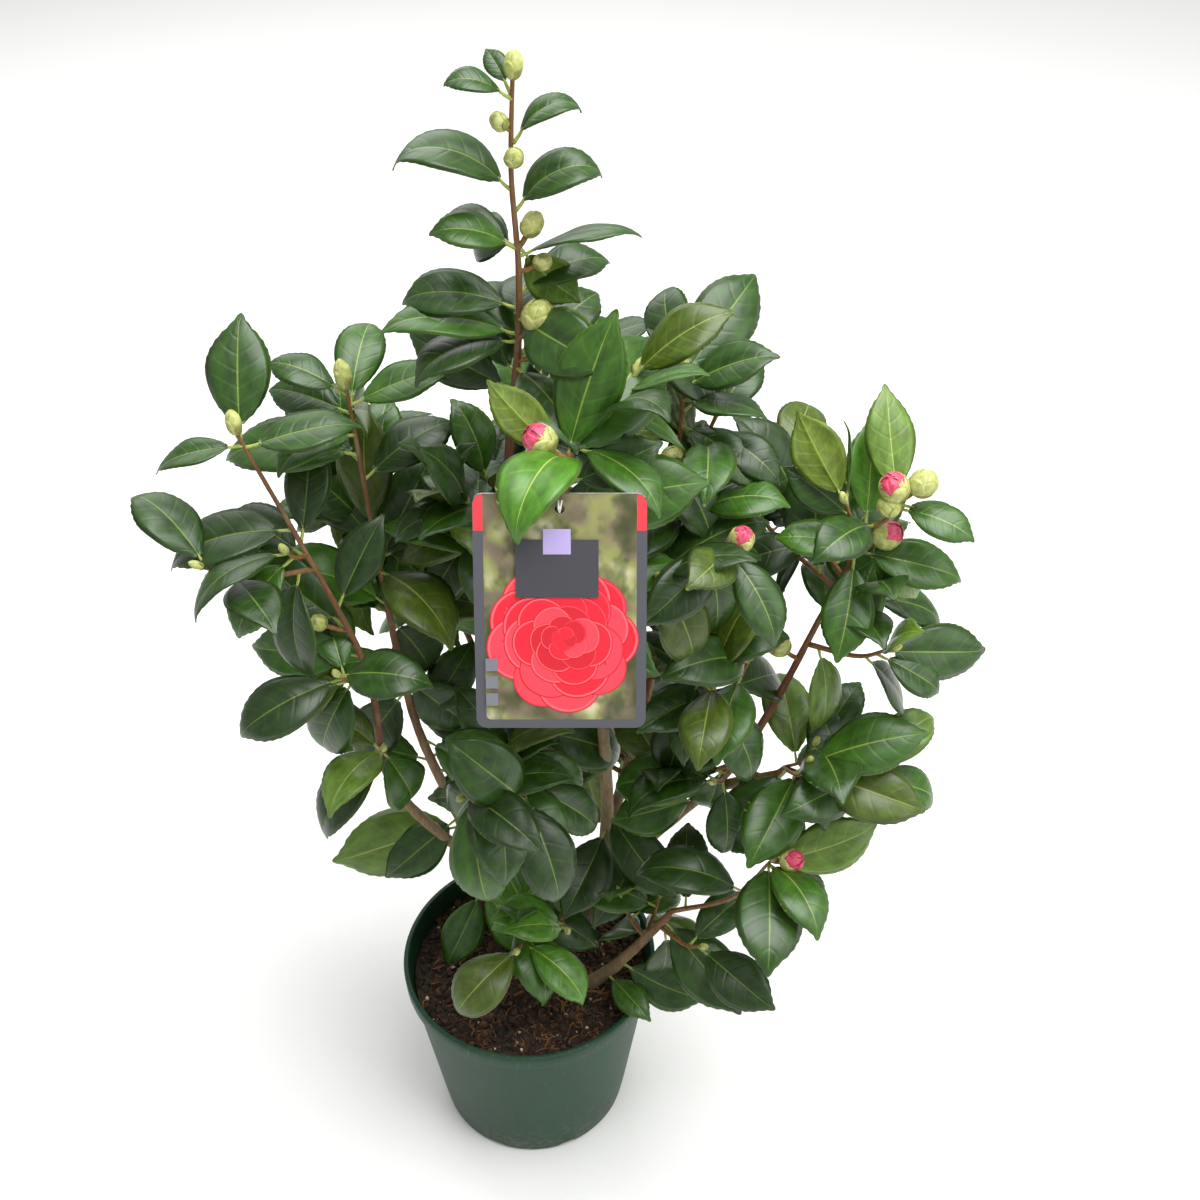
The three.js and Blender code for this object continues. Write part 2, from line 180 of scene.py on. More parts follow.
# Where the shoots of some masses end, in shares of the mass's half size from its middle.
SHOOT_TIPS = {
    "leaves_upper_centre": ((0.5, 0.8, -0.35),),
    "leaves_upper_right": ((-0.2, -0.1, 0.1), (0.25, -0.2, -0.3)),
    "leaves_left_low": ((0.12, -0.2, 0.3),),
    "leaves_left_foot": ((0.25, 0.5, 0.55),),
    "leaves_back_left_top": ((0.1, 0.1, -0.1), (-0.2, 0.4, -0.3), (0.3, -0.3, -0.35)),
    "leaves_right_top": ((-0.3, -0.2, -0.5), (0.35, -0.2, -0.45)),
    "leaves_right_middle": ((-0.15, -0.3, -0.45), (-0.3, 0.4, 0.0)),
    "leaves_low_right": ((0.24, 0.15, 0.95), (-0.45, -0.1, -0.15)),
    "leaves_centre_right": ((0.5, -0.2, 0.15), (-0.3, -0.3, -0.2), (0.1, 0.4, 0.3)),
}

# Leaves with a place of their own, by mass: the shoot (by number) or the limb (by name) that carries it,
# how high on the limb in mm or how far along the shoot from 0 to 1, the side it points to in degrees
# (0 right, 90 back, 180 left, 270 front), how steeply it rises in degrees, its length in mm, how far it
# arches over in degrees, which way its upper face is turned, and its tint.
KeyLeaf = namedtuple("KeyLeaf", "carrier place side rise length arch facing tint")

KEY_LEAVES = {
    "leaves_top": (
        ("trunk", 821, 205, 42, 31, 85, "up", "dark"),
        ("trunk", 822, 130, 50, 20, 30, "front", "dark"),
        ("trunk", 799, 350, 60, 40, 115, "up", "dark"),
    ),
    "leaves_leader_upper": (
        ("trunk", 774, 184, 50, 64, 95, "up", "dark"),
        ("trunk", 763, 350, 58, 52, 110, "up", "dark"),
    ),
    "leaves_leader_middle": (
        ("trunk", 742, 160, 30, 42, 65, "up", "deep"),
        ("trunk", 742, 212, 42, 44, 75, "up", "middle"),
        ("trunk", 742, 130, -10, 48, 30, "front", "deep"),
        ("trunk", 737, 0, 30, 60, 40, "level", "dark"),
        ("trunk", 741, 20, -55, 44, -10, "back", "olive"),
        ("trunk", 706, 184, 26, 60, 65, "up", "dark"),
        ("trunk", 716, 20, 30, 50, 60, "up", "dark"),
    ),
    "leaves_leader_low": (
        ("trunk", 690, 200, 32, 72, 60, "up", "middle"),
        ("trunk", 700, 300, 10, 62, 60, "front", "dark"),
        ("trunk", 652, 160, 20, 64, 25, "front", "deep"),
        ("trunk", 676, 30, 30, 60, 50, "up", "dark"),
    ),
    "leaves_upper_centre": (
        ("centre_stem", 660, 40, 72, 76, 5, "front", "middle"),
        ("centre_stem", 657, 165, 40, 50, -25, "back", "olive"),
        ("centre_stem", 656, 42, 34, 86, 40, "front", "middle"),
        ("centre_stem", 655, 258, 44, 82, 118, "up", "fresh"),
        ("centre_stem", 606, 0, 20, 74, 25, "front", "middle"),
        ("centre_stem", 640, 60, 25, 62, 40, "front", "dark"),
        ("centre_stem", 628, 350, 30, 50, 30, "front", "dark"),
    ),
    "leaves_left_inner_top": (
        ("left_inner_stem", 648, 175, 38, 44, 60, "up", "dark"),
        ("left_inner_stem", 640, 5, 28, 56, 35, "up", "middle"),
        ("left_inner_stem", 634, 160, 15, 48, 30, "up", "dark"),
        ("left_inner_stem", 636, 80, -35, 62, 20, "front", "bleached"),
        ("left_inner_stem", 604, 192, 22, 78, 65, "up", "middle"),
        ("left_inner_stem", 585, 30, 35, 62, 50, "up", "deep"),
    ),
    "leaves_left_outer_top": (
        ("left_outer_bough", 646, 95, 55, 62, 15, "front", "dark"),
        ("left_outer_bough", 642, 192, 2, 46, 45, "up", "dark"),
        ("left_outer_bough", 640, 5, 18, 58, 35, "up", "dark"),
        ("left_outer_bough", 582, 188, 6, 72, 50, "up", "deep"),
        ("left_outer_bough", 572, 80, 50, 58, 20, "front", "deep"),
    ),
    "leaves_left_outer_low": (
        ("left_outer_bough", 505, 168, 35, 72, 25, "front", "dark"),
        ("left_outer_bough", 500, 150, 22, 64, 55, "up", "dark"),
        ("left_outer_bough", 478, 198, 22, 64, 60, "front", "middle"),
        ("left_outer_bough", 520, 35, 60, 56, 20, "front", "deep"),
    ),
    "leaves_left_middle": (
        ("left_inner_stem", 474, 75, 50, 82, 15, "front", "middle"),
        ("left_inner_stem", 484, 198, 52, 84, 80, "up", "fresh"),
        ("left_inner_stem", 434, 200, 8, 42, 30, "front", "fresh"),
        ("left_inner_stem", 520, 40, 55, 70, 30, "front", "deep"),
        ("left_inner_stem", 462, 45, -60, 70, 10, "front", "deep"),
    ),
    "leaves_left_low": (
        ("left_inner_stem", 330, 180, 20, 64, 25, "front", "middle"),
        ("left_inner_stem", 332, 20, 32, 58, 30, "front", "middle"),
        ("left_inner_stem", 318, 345, 0, 38, 30, "front", "fresh"),
        ("left_inner_stem", 372, 30, 40, 60, 30, "front", "dark"),
        ("left_inner_stem", 410, 20, -55, 72, 10, "front", "dark"),
        ("left_inner_stem", 400, 200, -50, 62, 15, "front", "deep"),
        ("left_inner_stem", 350, 350, -30, 60, 20, "front", "middle"),
    ),
    "leaves_left_foot": (
        ("left_inner_stem", 262, 215, -20, 62, 25, "front", "dark"),
        ("left_inner_stem", 252, 200, 4, 90, 20, "front", "bleached"),
    ),
    "leaves_front_low": (
        ("trunk", 345, 178, 18, 82, 30, "front", "deep"),
        ("trunk", 300, 198, 4, 76, 30, "front", "dark"),
        ("trunk", 300, 262, -30, 76, 25, "front", "middle"),
    ),
    "leaves_foot_front": (
        ("left_inner_stem", 178, 305, -10, 66, 60, "front", "fresh"),
        ("left_inner_stem", 172, 250, -25, 56, 30, "front", "middle"),
    ),
    "leaves_centre_left": (
        ("trunk", 445, 172, 45, 86, 20, "front", "fresh"),
    ),
    "leaves_foot_right": (
        ("centre_stem", 284, 302, -20, 72, 30, "front", "dark"),
        ("centre_stem", 262, 250, -15, 66, 25, "front", "deep"),
    ),
    "leaves_low_right": (
        (0, 0.97, 266, 8, 76, 50, "front", "dark"),
        (0, 1.0, 5, 10, 70, 20, "front", "bleached"),
        (0, 0.95, 330, -20, 44, 60, "front", "dark"),
        ("low_right_bough", 240, 308, -8, 76, 30, "front", "dark"),
        ("low_right_bough", 178, 325, -5, 60, 30, "front", "dark"),
        ("low_right_bough", 162, 300, 20, 46, 50, "up", "middle"),
    ),
    "leaves_right_low": (
        ("right_side_branch", 358, 335, -18, 50, 25, "front", "middle"),
    ),
    "leaves_lower_right": (
        ("right_bough", 252, 238, -10, 72, 25, "front", "deep"),
        ("right_bough", 302, 212, 10, 60, 55, "front", "middle"),
        ("right_bough", 345, 305, -18, 68, 25, "front", "dark"),
    ),
    "leaves_upper_right": (
        (0, 0.95, 45, 38, 76, 35, "front", "dark"),
    ),
    "leaves_right_middle": (
        (0, 0.9, 5, -6, 68, 25, "front", "dark"),
    ),
    "leaves_centre_front": (
        (0, 0.9, 8, 18, 84, 25, "front", "fresh"),
    ),
    "leaves_centre_right": (
        ("centre_stem", 500, 4, 28, 88, 35, "front", "fresh"),
    ),
    "leaves_right_top": (
        (0, 1.0, 135, 45, 52, -20, "back", "olive"),
        (1, 0.95, 105, 52, 62, 10, "front", "bleached"),
        (0, 0.9, 80, 55, 42, 15, "side", "middle"),
        (0, 0.45, 165, 40, 46, 25, "front", "dark"),
        (1, 0.8, 335, 6, 44, 45, "up", "middle"),
        (1, 0.9, 350, -8, 42, 40, "up", "middle"),
        ("right_bough", 546, 182, 18, 44, 40, "up", "fresh"),
        ("right_bough", 543, 335, 5, 62, 55, "front", "middle"),
        ("right_bough", 552, 350, -38, 54, 30, "front", "bleached"),
        ("right_bough", 538, 262, -35, 58, 20, "front", "middle"),
    ),
}
FACINGS = {
    "up": Vector((0, -0.3, 1)),
    "level": Vector((0, 0.35, 1)),
    "side": Vector((1, -0.2, 0.2)),
    "front": Vector((0, -0.8, 0.6)),
    "back": Vector((0, 0.8, -0.3)),
}

# ---------------------------------------------------------------- small helpers


def linear(hex_colour, alpha=1.0):
    """An sRGB hex colour as linear red, green, blue and alpha."""
    parts = [int(hex_colour[i:i + 2], 16) / 255 for i in (1, 3, 5)]
    return (*[c / 12.92 if c <= 0.04045 else ((c + 0.055) / 1.055) ** 2.4 for c in parts], alpha)


def smoothstep(low, high, value):
    """A smooth rise from 0 at low to 1 at high, or a fall where high is the lower of the two."""
    t = min(1.0, max(0.0, (value - low) / (high - low)))
    return t * t * (3 - 2 * t)


def mix(a, b, t):
    """The value at a share t of the way from a to b."""
    return a + (b - a) * t


class MeshDraft:
    """Vertices, faces, material slots and UVs of one piece while it is being put together."""

    def __init__(self):
        self.vertices = []
        self.faces = []
        self.slots = []
        self.uvs = []
        self.shades = []

    def add(self, vertices, faces, slot=0, uvs=None, shade=0.0):
        """Adds a patch. uvs: a list of corner coordinates per face. shade: one number, or one per vertex."""
        first = len(self.vertices)
        self.vertices.extend(vertices)
        self.faces.extend([tuple(first + i for i in face) for face in faces])
        self.slots.extend([slot] * len(faces) if isinstance(slot, int) else slot)
        self.uvs.extend(uvs if uvs is not None else [None] * len(faces))
        self.shades.extend([shade] * len(vertices) if isinstance(shade, float) else shade)

    def piece(self, name, materials, sharp=None):
        """Makes the Blender object, smooth-shaded, and hands it to the plant's body."""
        mesh = bpy.data.meshes.new(name)
        mesh.from_pydata([tuple(v) for v in self.vertices], [], self.faces)
        for material in materials:
            mesh.materials.append(material)
        mesh.polygons.foreach_set("material_index", self.slots)
        if any(uv is not None for uv in self.uvs):
            layer = mesh.uv_layers.new(name=BAKE_MAP)
            flat = [c for corners in self.uvs for corner in corners for c in corner]
            layer.data.foreach_set("uv", flat)
        if any(self.shades):
            attribute = mesh.attributes.new("age", "FLOAT", "POINT")
            attribute.data.foreach_set("value", self.shades)
        mesh.shade_smooth()
        if sharp is not None:
            mesh.set_sharp_from_angle(angle=math.radians(sharp))
        mesh.validate()
        piece = bpy.data.objects.new(name, mesh)
        bpy.context.scene.collection.objects.link(piece)
        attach(piece, "root")
        return piece


def tube_rings(points, radii, sides, wobble=None):
    """Vertices and faces of a closed tube along points, with one flat face over each end."""
    count = len(points)
    tangents = [
        (points[min(i + 1, count - 1)] - points[max(i - 1, 0)]).normalized() for i in range(count)
    ]
    normal = tangents[0].orthogonal().normalized()
    vertices = []
    for i, (point, tangent) in enumerate(zip(points, tangents)):
        if i:
            normal = tangents[i - 1].rotation_difference(tangent) @ normal
        across = tangent.cross(normal)
        for k in range(sides):
            turn = 2 * math.pi * k / sides
            out = math.cos(turn) * normal + math.sin(turn) * across
            radius = radii[i] * (1 + wobble(point, out, i) if wobble else 1)
            vertices.append(point + out * radius)
    faces = []
    for i in range(count - 1):
        for k in range(sides):
            a, b = i * sides + k, i * sides + (k + 1) % sides
            faces.append((a, b, b + sides, a + sides))
    faces.append(tuple(reversed(range(sides))))
    faces.append(tuple((count - 1) * sides + k for k in range(sides)))
    return vertices, faces


def curve_points(corners, count):
    """Points along a smooth curve through the corners (Catmull-Rom)."""
    padded = [corners[0] * 2 - corners[1], *corners, corners[-1] * 2 - corners[-2]]
    spans = len(corners) - 1
    points = []
    for i in range(count):
        along = i / (count - 1) * spans
        k = min(int(along), spans - 1)
        t = along - k
        a, b, c, d = padded[k:k + 4]
        square_term = (2 * a - 5 * b + 4 * c - d) * t * t
        cube_term = (3 * b - a - 3 * c + d) * t ** 3
        points.append(0.5 * (2 * b + (c - a) * t + square_term + cube_term))
    return points


# ---------------------------------------------------------------- limbs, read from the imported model

Limb = namedtuple("Limb", "name points radii")

LIMB_NAMES = (
    "trunk",
    "left_inner_stem",
    "left_outer_bough",
    "centre_stem",
    "right_bough",
    "right_side_branch",
    "low_right_bough",
    "inner_right_branch",
    "upper_right_bough",
    "back_left_bough",
    "back_bough",
    "back_right_bough",
)
SLICES = 14
# The first and last slice lie this far inside the limb's ends, or this share of its height if that is less.
END_INSET = 4 * MM
END_INSET_SHARE = 0.05


def slice_centre(mesh, height):
    """Middle and mean radius of a mesh's outline where a level plane cuts it."""
    cuts = []
    for edge in mesh.edges:
        a, b = (mesh.vertices[i].co for i in edge.vertices)
        if (a.z - height) * (b.z - height) < 0:
            cuts.append(a.lerp(b, (height - a.z) / (b.z - a.z)))
    low = Vector(map(min, *cuts)) if len(cuts) > 1 else cuts[0]
    high = Vector(map(max, *cuts)) if len(cuts) > 1 else cuts[0]
    middle = (low + high) / 2
    return middle, min(high.x - low.x, high.y - low.y) / 2


@lru_cache(maxsize=None)
def limb(name):
    """A limb's centre line and radii from foot to tip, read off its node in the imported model."""
    low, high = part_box(name)
    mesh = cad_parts[name].data
    inset = min(END_INSET, (high.z - low.z) * END_INSET_SHARE)
    points, radii = [], []
    for i in range(SLICES):
        height = mix(low.z + inset, high.z - inset, i / (SLICES - 1))
        middle, radius = slice_centre(mesh, height)
        points.append(middle)
        radii.append(radius)
    points[0] = points[0] + (points[0] - points[1]).normalized() * inset
    points[-1] = points[-1] + (points[-1] - points[-2]).normalized() * inset
    return Limb(name, points, radii)


def limb_at(carrier, height):
    """Point, direction and radius of a limb at a height, held to its ends."""
    points = carrier.points
    for i in range(len(points) - 1):
        if height <= points[i + 1].z or i == len(points) - 2:
            span = points[i + 1].z - points[i].z
            t = min(1.0, max(0.0, (height - points[i].z) / span))
            direction = (points[i + 1] - points[i]).normalized()
            radius = mix(carrier.radii[i], carrier.radii[i + 1], t)
            return points[i].lerp(points[i + 1], t), direction, radius
    raise ValueError(carrier.name)


# ---------------------------------------------------------------- growth: twigs, leaves and buds

Twig = namedtuple("Twig", "points radii")
Leaf = namedtuple("Leaf", "mass foot axis face length width droop fold twist wave tint under seed")
Bud = namedtuple("Bud", "foot axis radius pink long")

PETIOLE = 7 * MM
LEAF_PROPORTION = 0.52
LEAF_TRIES = 10
# A blade that reaches out of its mass is shortened this many times, each time to this share of its length.
SHORTENINGS = 3
SHORTENING = 0.92
# How far out a tip may lie before its blade is shortened or scores less, in shares of its mass's half size.
TIP_SLACK = 1.15
SCORE_SLACK = 1.2
OUTSIDE_SCORE = 0.45
COVERING_SCORE = 0.3
# Room between leaves counts up to this distance.
FULL_ROOM = 30 * MM
# Leaves low over the pot's middle keep above the compost.
LOWEST_LEAF = 150 * MM
POT_MOUTH = 100 * MM
# Leaves and shoots stand on the skin of their limb, at this share of its radius.
SEAT_DEPTH = 0.8
SHOOT_STEPS = 12
SHOOT_TIP_RADIUS = 1.1 * MM
SHOOT_FOOT_RADIUS = 1.9 * MM
# Shoots grow out to this share of the mass's half size where no tip is given for them.
SHOOT_REACH = 0.42
# The stretch of a shoot that carries leaves, from its tip down.
LEAFY_STRETCH = 105 * MM
TIP_BUD_RADIUS = 2.4 * MM
TIP_BUD_LENGTH = 2.2
# A bud whose spur is no longer than this, in mm, sits on its limb without one.
SHORTEST_SPUR = 2
# A leaf keeps this far beside a bare limb, at the three points along its blade.
BARE_LIMB_ROOM = (17 * MM, 16 * MM, 8 * MM)
# Points on the bare limbs are this many mm apart, and a leaf this far ahead of one counts as before it.
BARE_LIMB_STEP = 12
BARE_LIMB_AHEAD = 3 * MM


def mass_shape(name):
    """Middle and half size of a mass's box."""
    low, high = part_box(name)
    return (low + high) / 2, (high - low) / 2


def inside(point, centre, half, slack):
    """Whether a point lies in the mass's egg, grown by the slack."""
    offset = point - centre
    return sum((offset[i] / (half[i] * slack)) ** 2 for i in range(3)) <= 1


CARD_BOW = 1.6 * MM
# Leaves keep this far beside the card, behind it and in front of it.
CARD_BESIDE = 4 * MM
CARD_BEHIND = 6 * MM
CARD_AHEAD = 200 * MM


class Card:
    """The picture card's place: its middle, its axes and its size, worked out from its node."""

    def __init__(self):
        low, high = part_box("label")
        self.middle = (low + high) / 2
        self.right = Vector((1, 0, 0))
        self.up = Vector((0, high.y - low.y, high.z - low.z)).normalized()
        self.out = self.right.cross(self.up)
        self.width = high.x - low.x
        self.height = math.hypot(high.y - low.y, high.z - low.z)

    def to_world(self, x, y, z):
        """The place at x and y on the card's face, z in front of it."""
        return self.middle + self.right * x + self.up * y + self.out * z

    def bow(self, y):
        """How far the card's face stands forward at a height on it: most at its middle."""
        return CARD_BOW * (0.25 - (y / self.height) ** 2) * 4 - CARD_BOW / 2

    def hides(self, point):
        """Whether a point stands in front of the card, or pierces it."""
        offset = point - self.middle
        x, y, z = offset.dot(self.right), offset.dot(self.up), offset.dot(self.out)
        beside = abs(x) > self.width / 2 + CARD_BESIDE or abs(y) > self.height / 2 + CARD_BESIDE
        return not beside and -CARD_BEHIND < z < CARD_AHEAD


def leaf_points(foot, axis, face, length, droop):
    """Three points along a blade, near its foot, middle and tip, for keeping leaves apart."""
    side = axis.cross(face).normalized()
    points = []
    point, direction = foot.copy(), axis.copy()
    for share in (0.4, 0.35, 0.25):
        direction = Quaternion(side, -droop * 0.5) @ direction
        point = point + direction * length * share
        points.append(point)
    return points


def along_curve(points, share):
    """Point and direction at a share of the way along a row of points."""
    along = share * (len(points) - 1)
    i = min(int(along), len(points) - 2)
    return points[i].lerp(points[i + 1], along - i), (points[i + 1] - points[i]).normalized()


def compass(side, rise):
    """The direction that points to a side (0 right, 90 back) and rises, both in degrees."""
    side, rise = math.radians(side), math.radians(rise)
    return Vector((math.cos(side) * math.cos(rise), math.sin(side) * math.cos(rise), math.sin(rise)))


@lru_cache(maxsize=None)
def open_points():
    """Points along the stretches of limb whose front is left open."""
    points = []
    for name, (low, high) in OPEN_LIMBS.items():
        for height in range(low, high, BARE_LIMB_STEP):
            points.append(limb_at(limb(name), height * MM)[0])
    return np.array([tuple(p) for p in points])


def covers_limb(points):
    """How many of a leaf's points stand in front of a limb that is left open."""
    covered = 0
    for point, room in zip(points, BARE_LIMB_ROOM):
        offset = np.array(point) - open_points()
        ahead = offset @ np.array(FRONT)
        beside = np.linalg.norm(offset - np.outer(ahead, np.array(FRONT)), axis=1)
        covered += bool(np.any((ahead > BARE_LIMB_AHEAD) & (beside < room)))
    return covered


class Shrub:
    """Everything that grows on the limbs, worked out once."""

    def __init__(self):
        self.twigs, self.leaves, self.buds = [], [], []
        self.shoots = {}
        self.taken = []
        self.card = Card()

    def spread(self, points):
        """How far points stay from those of the leaves that are already there, in metres."""
        if not self.taken:
            return 1.0
        taken = np.array(self.taken)
        near = min(np.min(np.linalg.norm(taken - np.array(p), axis=1)) for p in points)
        return float(near)

    def seat(self, carrier, place):
        """Point, direction and radius at a height in mm on a limb, or at a share of the way along a shoot."""
        if isinstance(carrier, str):
            return limb_at(limb(carrier), place * MM)
        name, number = carrier
        twig = self.shoots[name][number]
        return (*along_curve(twig.points, place), twig.radii[-1])

    def put_leaf(self, rng, name, foot, axis, face, length, droop, tint):
        """Adds a leaf and takes up its room."""
        blade_foot = foot + axis * PETIOLE
        self.taken.extend(tuple(p) for p in leaf_points(blade_foot, axis, face, length, droop))
        self.leaves.append(Leaf(
            mass=name,
            foot=foot,
            axis=axis,
            face=face,
            length=length,
            width=length * LEAF_PROPORTION * rng.uniform(0.9, 1.14),
            droop=droop,
            fold=rng.uniform(0.0, 0.2),
            twist=rng.uniform(-0.35, 0.35),
            wave=rng.uniform(0.02, 0.08),
            tint=tint,
            under=rng.randrange(len(UNDER_TINTS)),
            seed=rng.random(),
        ))

    def grow_key_leaves(self, name):
        """The leaves of a mass that have a place of their own."""
        rng = random.Random(SPRAYS[name].seed)
        for key in map(KeyLeaf._make, KEY_LEAVES.get(name, ())):
            carrier = key.carrier if isinstance(key.carrier, str) else (name, key.carrier)
            point, direction, radius = self.seat(carrier, key.place)
            axis = compass(key.side, key.rise)
            hint = FACINGS[key.facing] + Vector([rng.uniform(-0.12, 0.12) for _ in range(3)])
            face = (hint - axis * hint.dot(axis)).normalized()
            away = (axis - direction * axis.dot(direction)).normalized()
            foot = point + away * radius * SEAT_DEPTH
            arch, tint = math.radians(key.arch), TOP_TINTS.index("leaf_" + key.tint)
            self.put_leaf(rng, name, foot, axis, face, key.length * MM, arch, tint)

    def grow_leaf(self, rng, name, node, radius, direction, turn, lift, size):
        """Adds the best of a few tries at one leaf, at a node on a twig or limb.

        A try scores by its length and by the room it keeps to other leaves, less where it leaves its
        mass or covers a limb that is left open. Tries in front of the card or in the pot are dropped.
        """
        spray = SPRAYS[name]
        centre, half = mass_shape(name)
        best, best_score = None, -1.0
        for attempt in range(LEAF_TRIES):
            # each try may stray further round the twig, and its face leans to the sky and the front
            wander = turn + rng.uniform(-0.35, 0.35) * (1 + 0.6 * attempt)
            out = Quaternion(direction, wander) @ direction.orthogonal().normalized()
            rise = lift + rng.uniform(-0.15, 0.15)
            axis = (out * math.cos(rise) + direction * math.sin(rise)).normalized()
            skyward = UP + out * rng.uniform(0.05, 0.45) + direction * 0.25 + Vector((0, -0.3, 0))
            skyward += Vector([rng.uniform(-0.3, 0.3) for _ in range(3)])
            face = skyward - axis * skyward.dot(axis)
            if face.length < 0.2:
                continue
            face.normalize()
            length = spray.length * MM * size * rng.uniform(0.85, 1.15)
            droop = rng.uniform(0.5, 1.4) + 0.3 * smoothstep(0.6, 0.25, node.z)
            foot = node + out * radius * SEAT_DEPTH
            blade_foot = foot + axis * PETIOLE
            for _ in range(SHORTENINGS):
                points = leaf_points(blade_foot, axis, face, length, droop)
                if inside(points[-1], centre, half, TIP_SLACK):
                    break
                length *= SHORTENING
            if any(self.card.hides(p) for p in points):
                continue
            if min(p.z for p in points) < LOWEST_LEAF and math.hypot(points[-1].x, points[-1].y) < POT_MOUTH:
                continue
            fit = 1.0 if inside(points[-1], centre, half, SCORE_SLACK) else OUTSIDE_SCORE
            room = min(self.spread(points), FULL_ROOM)
            score = room * fit * length * COVERING_SCORE ** covers_limb(points)
            if score > best_score:
                best_score = score
                best = (foot, axis, face, length, droop)
        if best is not None:
            tint = rng.choices(range(len(TOP_TINTS)), MIXES[spray.mix])[0]
            self.put_leaf(rng, name, *best, tint)

    def grow_on_limb(self, name, spray):
        """Leaves that sit on the limb itself, in turn left and right, from the mass's foot to its top."""
        rng = random.Random(spray.seed)
        centre, half = mass_shape(name)
        carrier = limb(spray.limb)
        top = min(centre.z + half.z * 0.7, carrier.points[-1].z - END_INSET)
        foot = centre.z - half.z * 0.75
        turn = rng.uniform(0, 2 * math.pi)
        for k in range(spray.leaves):
            height = mix(foot, top, (k + 0.5) / spray.leaves)
            point, direction, radius = limb_at(carrier, height)
            near_tip = smoothstep(0.06, 0.0, carrier.points[-1].z - height)
            lift = mix(0.4, 0.85, near_tip)
            self.grow_leaf(rng, name, point, radius, direction, turn, lift, mix(1, 0.8, near_tip))
            turn += GOLDEN + rng.uniform(-0.3, 0.3)

    def shoot_start(self, carrier, target):
        """Where on its limb a shoot to the target leaves from: the nearest point that lies well below."""
        best = None
        steps, well_below = 40, 20 * MM
        for i in range(steps + 1):
            height = mix(carrier.points[0].z, carrier.points[-1].z, i / steps)
            point, _, radius = limb_at(carrier, height)
            gap = target - point
            cost = gap.length + 1.5 * max(0.0, well_below - gap.z)
            if best is None or cost < best[0]:
                best = (cost, point, radius)
        return best[1:]

    def grow_shoots(self, name, spray):
        """Side shoots that leave the limb, bend up into the mass and carry the leaves in a spiral."""
        rng = random.Random(spray.seed)
        centre, half = mass_shape(name)
        carrier = limb(spray.limb)
        first_turn = rng.uniform(0, 2 * math.pi)
        for k in range(spray.shoots):
            turn = first_turn + k * 2 * math.pi / spray.shoots + rng.uniform(-0.4, 0.4)
            share = Vector((math.cos(turn), math.sin(turn), rng.uniform(0.0, 0.7))) * SHOOT_REACH
            if name in SHOOT_TIPS:
                share = Vector(SHOOT_TIPS[name][k])
            tip = centre + Vector([a * b for a, b in zip(share, half)])
            start, radius = self.shoot_start(carrier, tip)
            gap = tip - start
            knee = start + gap * 0.5 + Vector((gap.x, gap.y, 0)) * 0.14 - UP * gap.length * 0.08
            points = curve_points([start, knee, tip], SHOOT_STEPS)
            stout = min(SHOOT_FOOT_RADIUS, radius * 0.8)
            radii = [mix(stout, SHOOT_TIP_RADIUS, i / (SHOOT_STEPS - 1)) for i in range(SHOOT_STEPS)]
            twig = Twig(points, radii)
            self.twigs.append(twig)
            self.shoots.setdefault(name, []).append(twig)
            axis = (points[-1] - points[-2]).normalized()
            self.buds.append(Bud(points[-1], axis, TIP_BUD_RADIUS, 0.0, TIP_BUD_LENGTH))

    def grow_shoot_leaves(self, name, number, points):
        """Leaves in a spiral on the last stretch of a shoot, closer together at its tip."""
        spray = SPRAYS[name]
        rng = random.Random(100 * spray.seed + number)
        turn = rng.uniform(0, 2 * math.pi)
        length = sum((b - a).length for a, b in zip(points, points[1:]))
        bare = max(0.12, 1 - LEAFY_STRETCH / length)
        for k in range(spray.leaves):
            share = mix(bare, 0.97, (k / max(1, spray.leaves - 1)) ** 0.8)
            node, direction = along_curve(points, share)
            lift = mix(0.2, 0.8, smoothstep(0.5, 1.0, share)) + rng.uniform(-0.1, 0.1)
            size = mix(1.0, 0.85, share)
            self.grow_leaf(rng, name, node, 1.3 * MM, direction, turn, lift, size)
            turn += GOLDEN + rng.uniform(-0.25, 0.25)

    def grow_flower_buds(self):
        """The round buds in their places, each on a short spur where it has one."""
        for bud in map(FlowerBud._make, FLOWER_BUDS):
            point, _, radius = self.seat(bud.carrier, bud.place)
            out = compass(bud.side, bud.rise)
            place = point + out * (radius * SEAT_DEPTH + bud.spur * MM)
            if bud.spur > SHORTEST_SPUR:
                spur = curve_points([point, point.lerp(place, 0.5) - UP * 1 * MM, place + out * 2 * MM], 6)
                self.twigs.append(Twig(spur, [1.5 * MM] * 5 + [1.9 * MM]))
            axis = (out + UP * 0.25).normalized()
            self.buds.append(Bud(place, axis, bud.radius * MM, bud.pink, bud.long))


@lru_cache(maxsize=None)
def shrub():
    """The whole growth: first shoots and the leaves with a place of their own, then the rest round them."""
    grown = Shrub()
    for name, spray in SPRAYS.items():
        grown.grow_shoots(name, spray)
        grown.grow_key_leaves(name)
    for name, spray in SPRAYS.items():
        if not spray.shoots:
            grown.grow_on_limb(name, spray)
        for number, twig in enumerate(grown.shoots.get(name, ())):
            grown.grow_shoot_leaves(name, number, twig.points)
    grown.grow_flower_buds()
    return grown


# ---------------------------------------------------------------- leaf blades

# A blade has so many rows along it, and columns at these shares of its half width.
STATIONS = 26
COLUMNS = (-1.0, -0.8, -0.45, -0.09, 0.0, 0.09, 0.45, 0.8, 1.0)
BLADE_THICKNESS = 0.42 * MM
TOOTH = 0.26 * MM
# The midrib stands out below and lies in a groove above.
RIB_HEIGHT = 0.75 * MM
RIB_GROOVE = 0.45 * MM
# Radians by which the last stretch of a blade curls over, beyond its arch.
TIP_CURL = 1.9
# Every tint has its own tile of the shared map, with a margin round it.
TILES = 3
TILE_PAD = 0.03


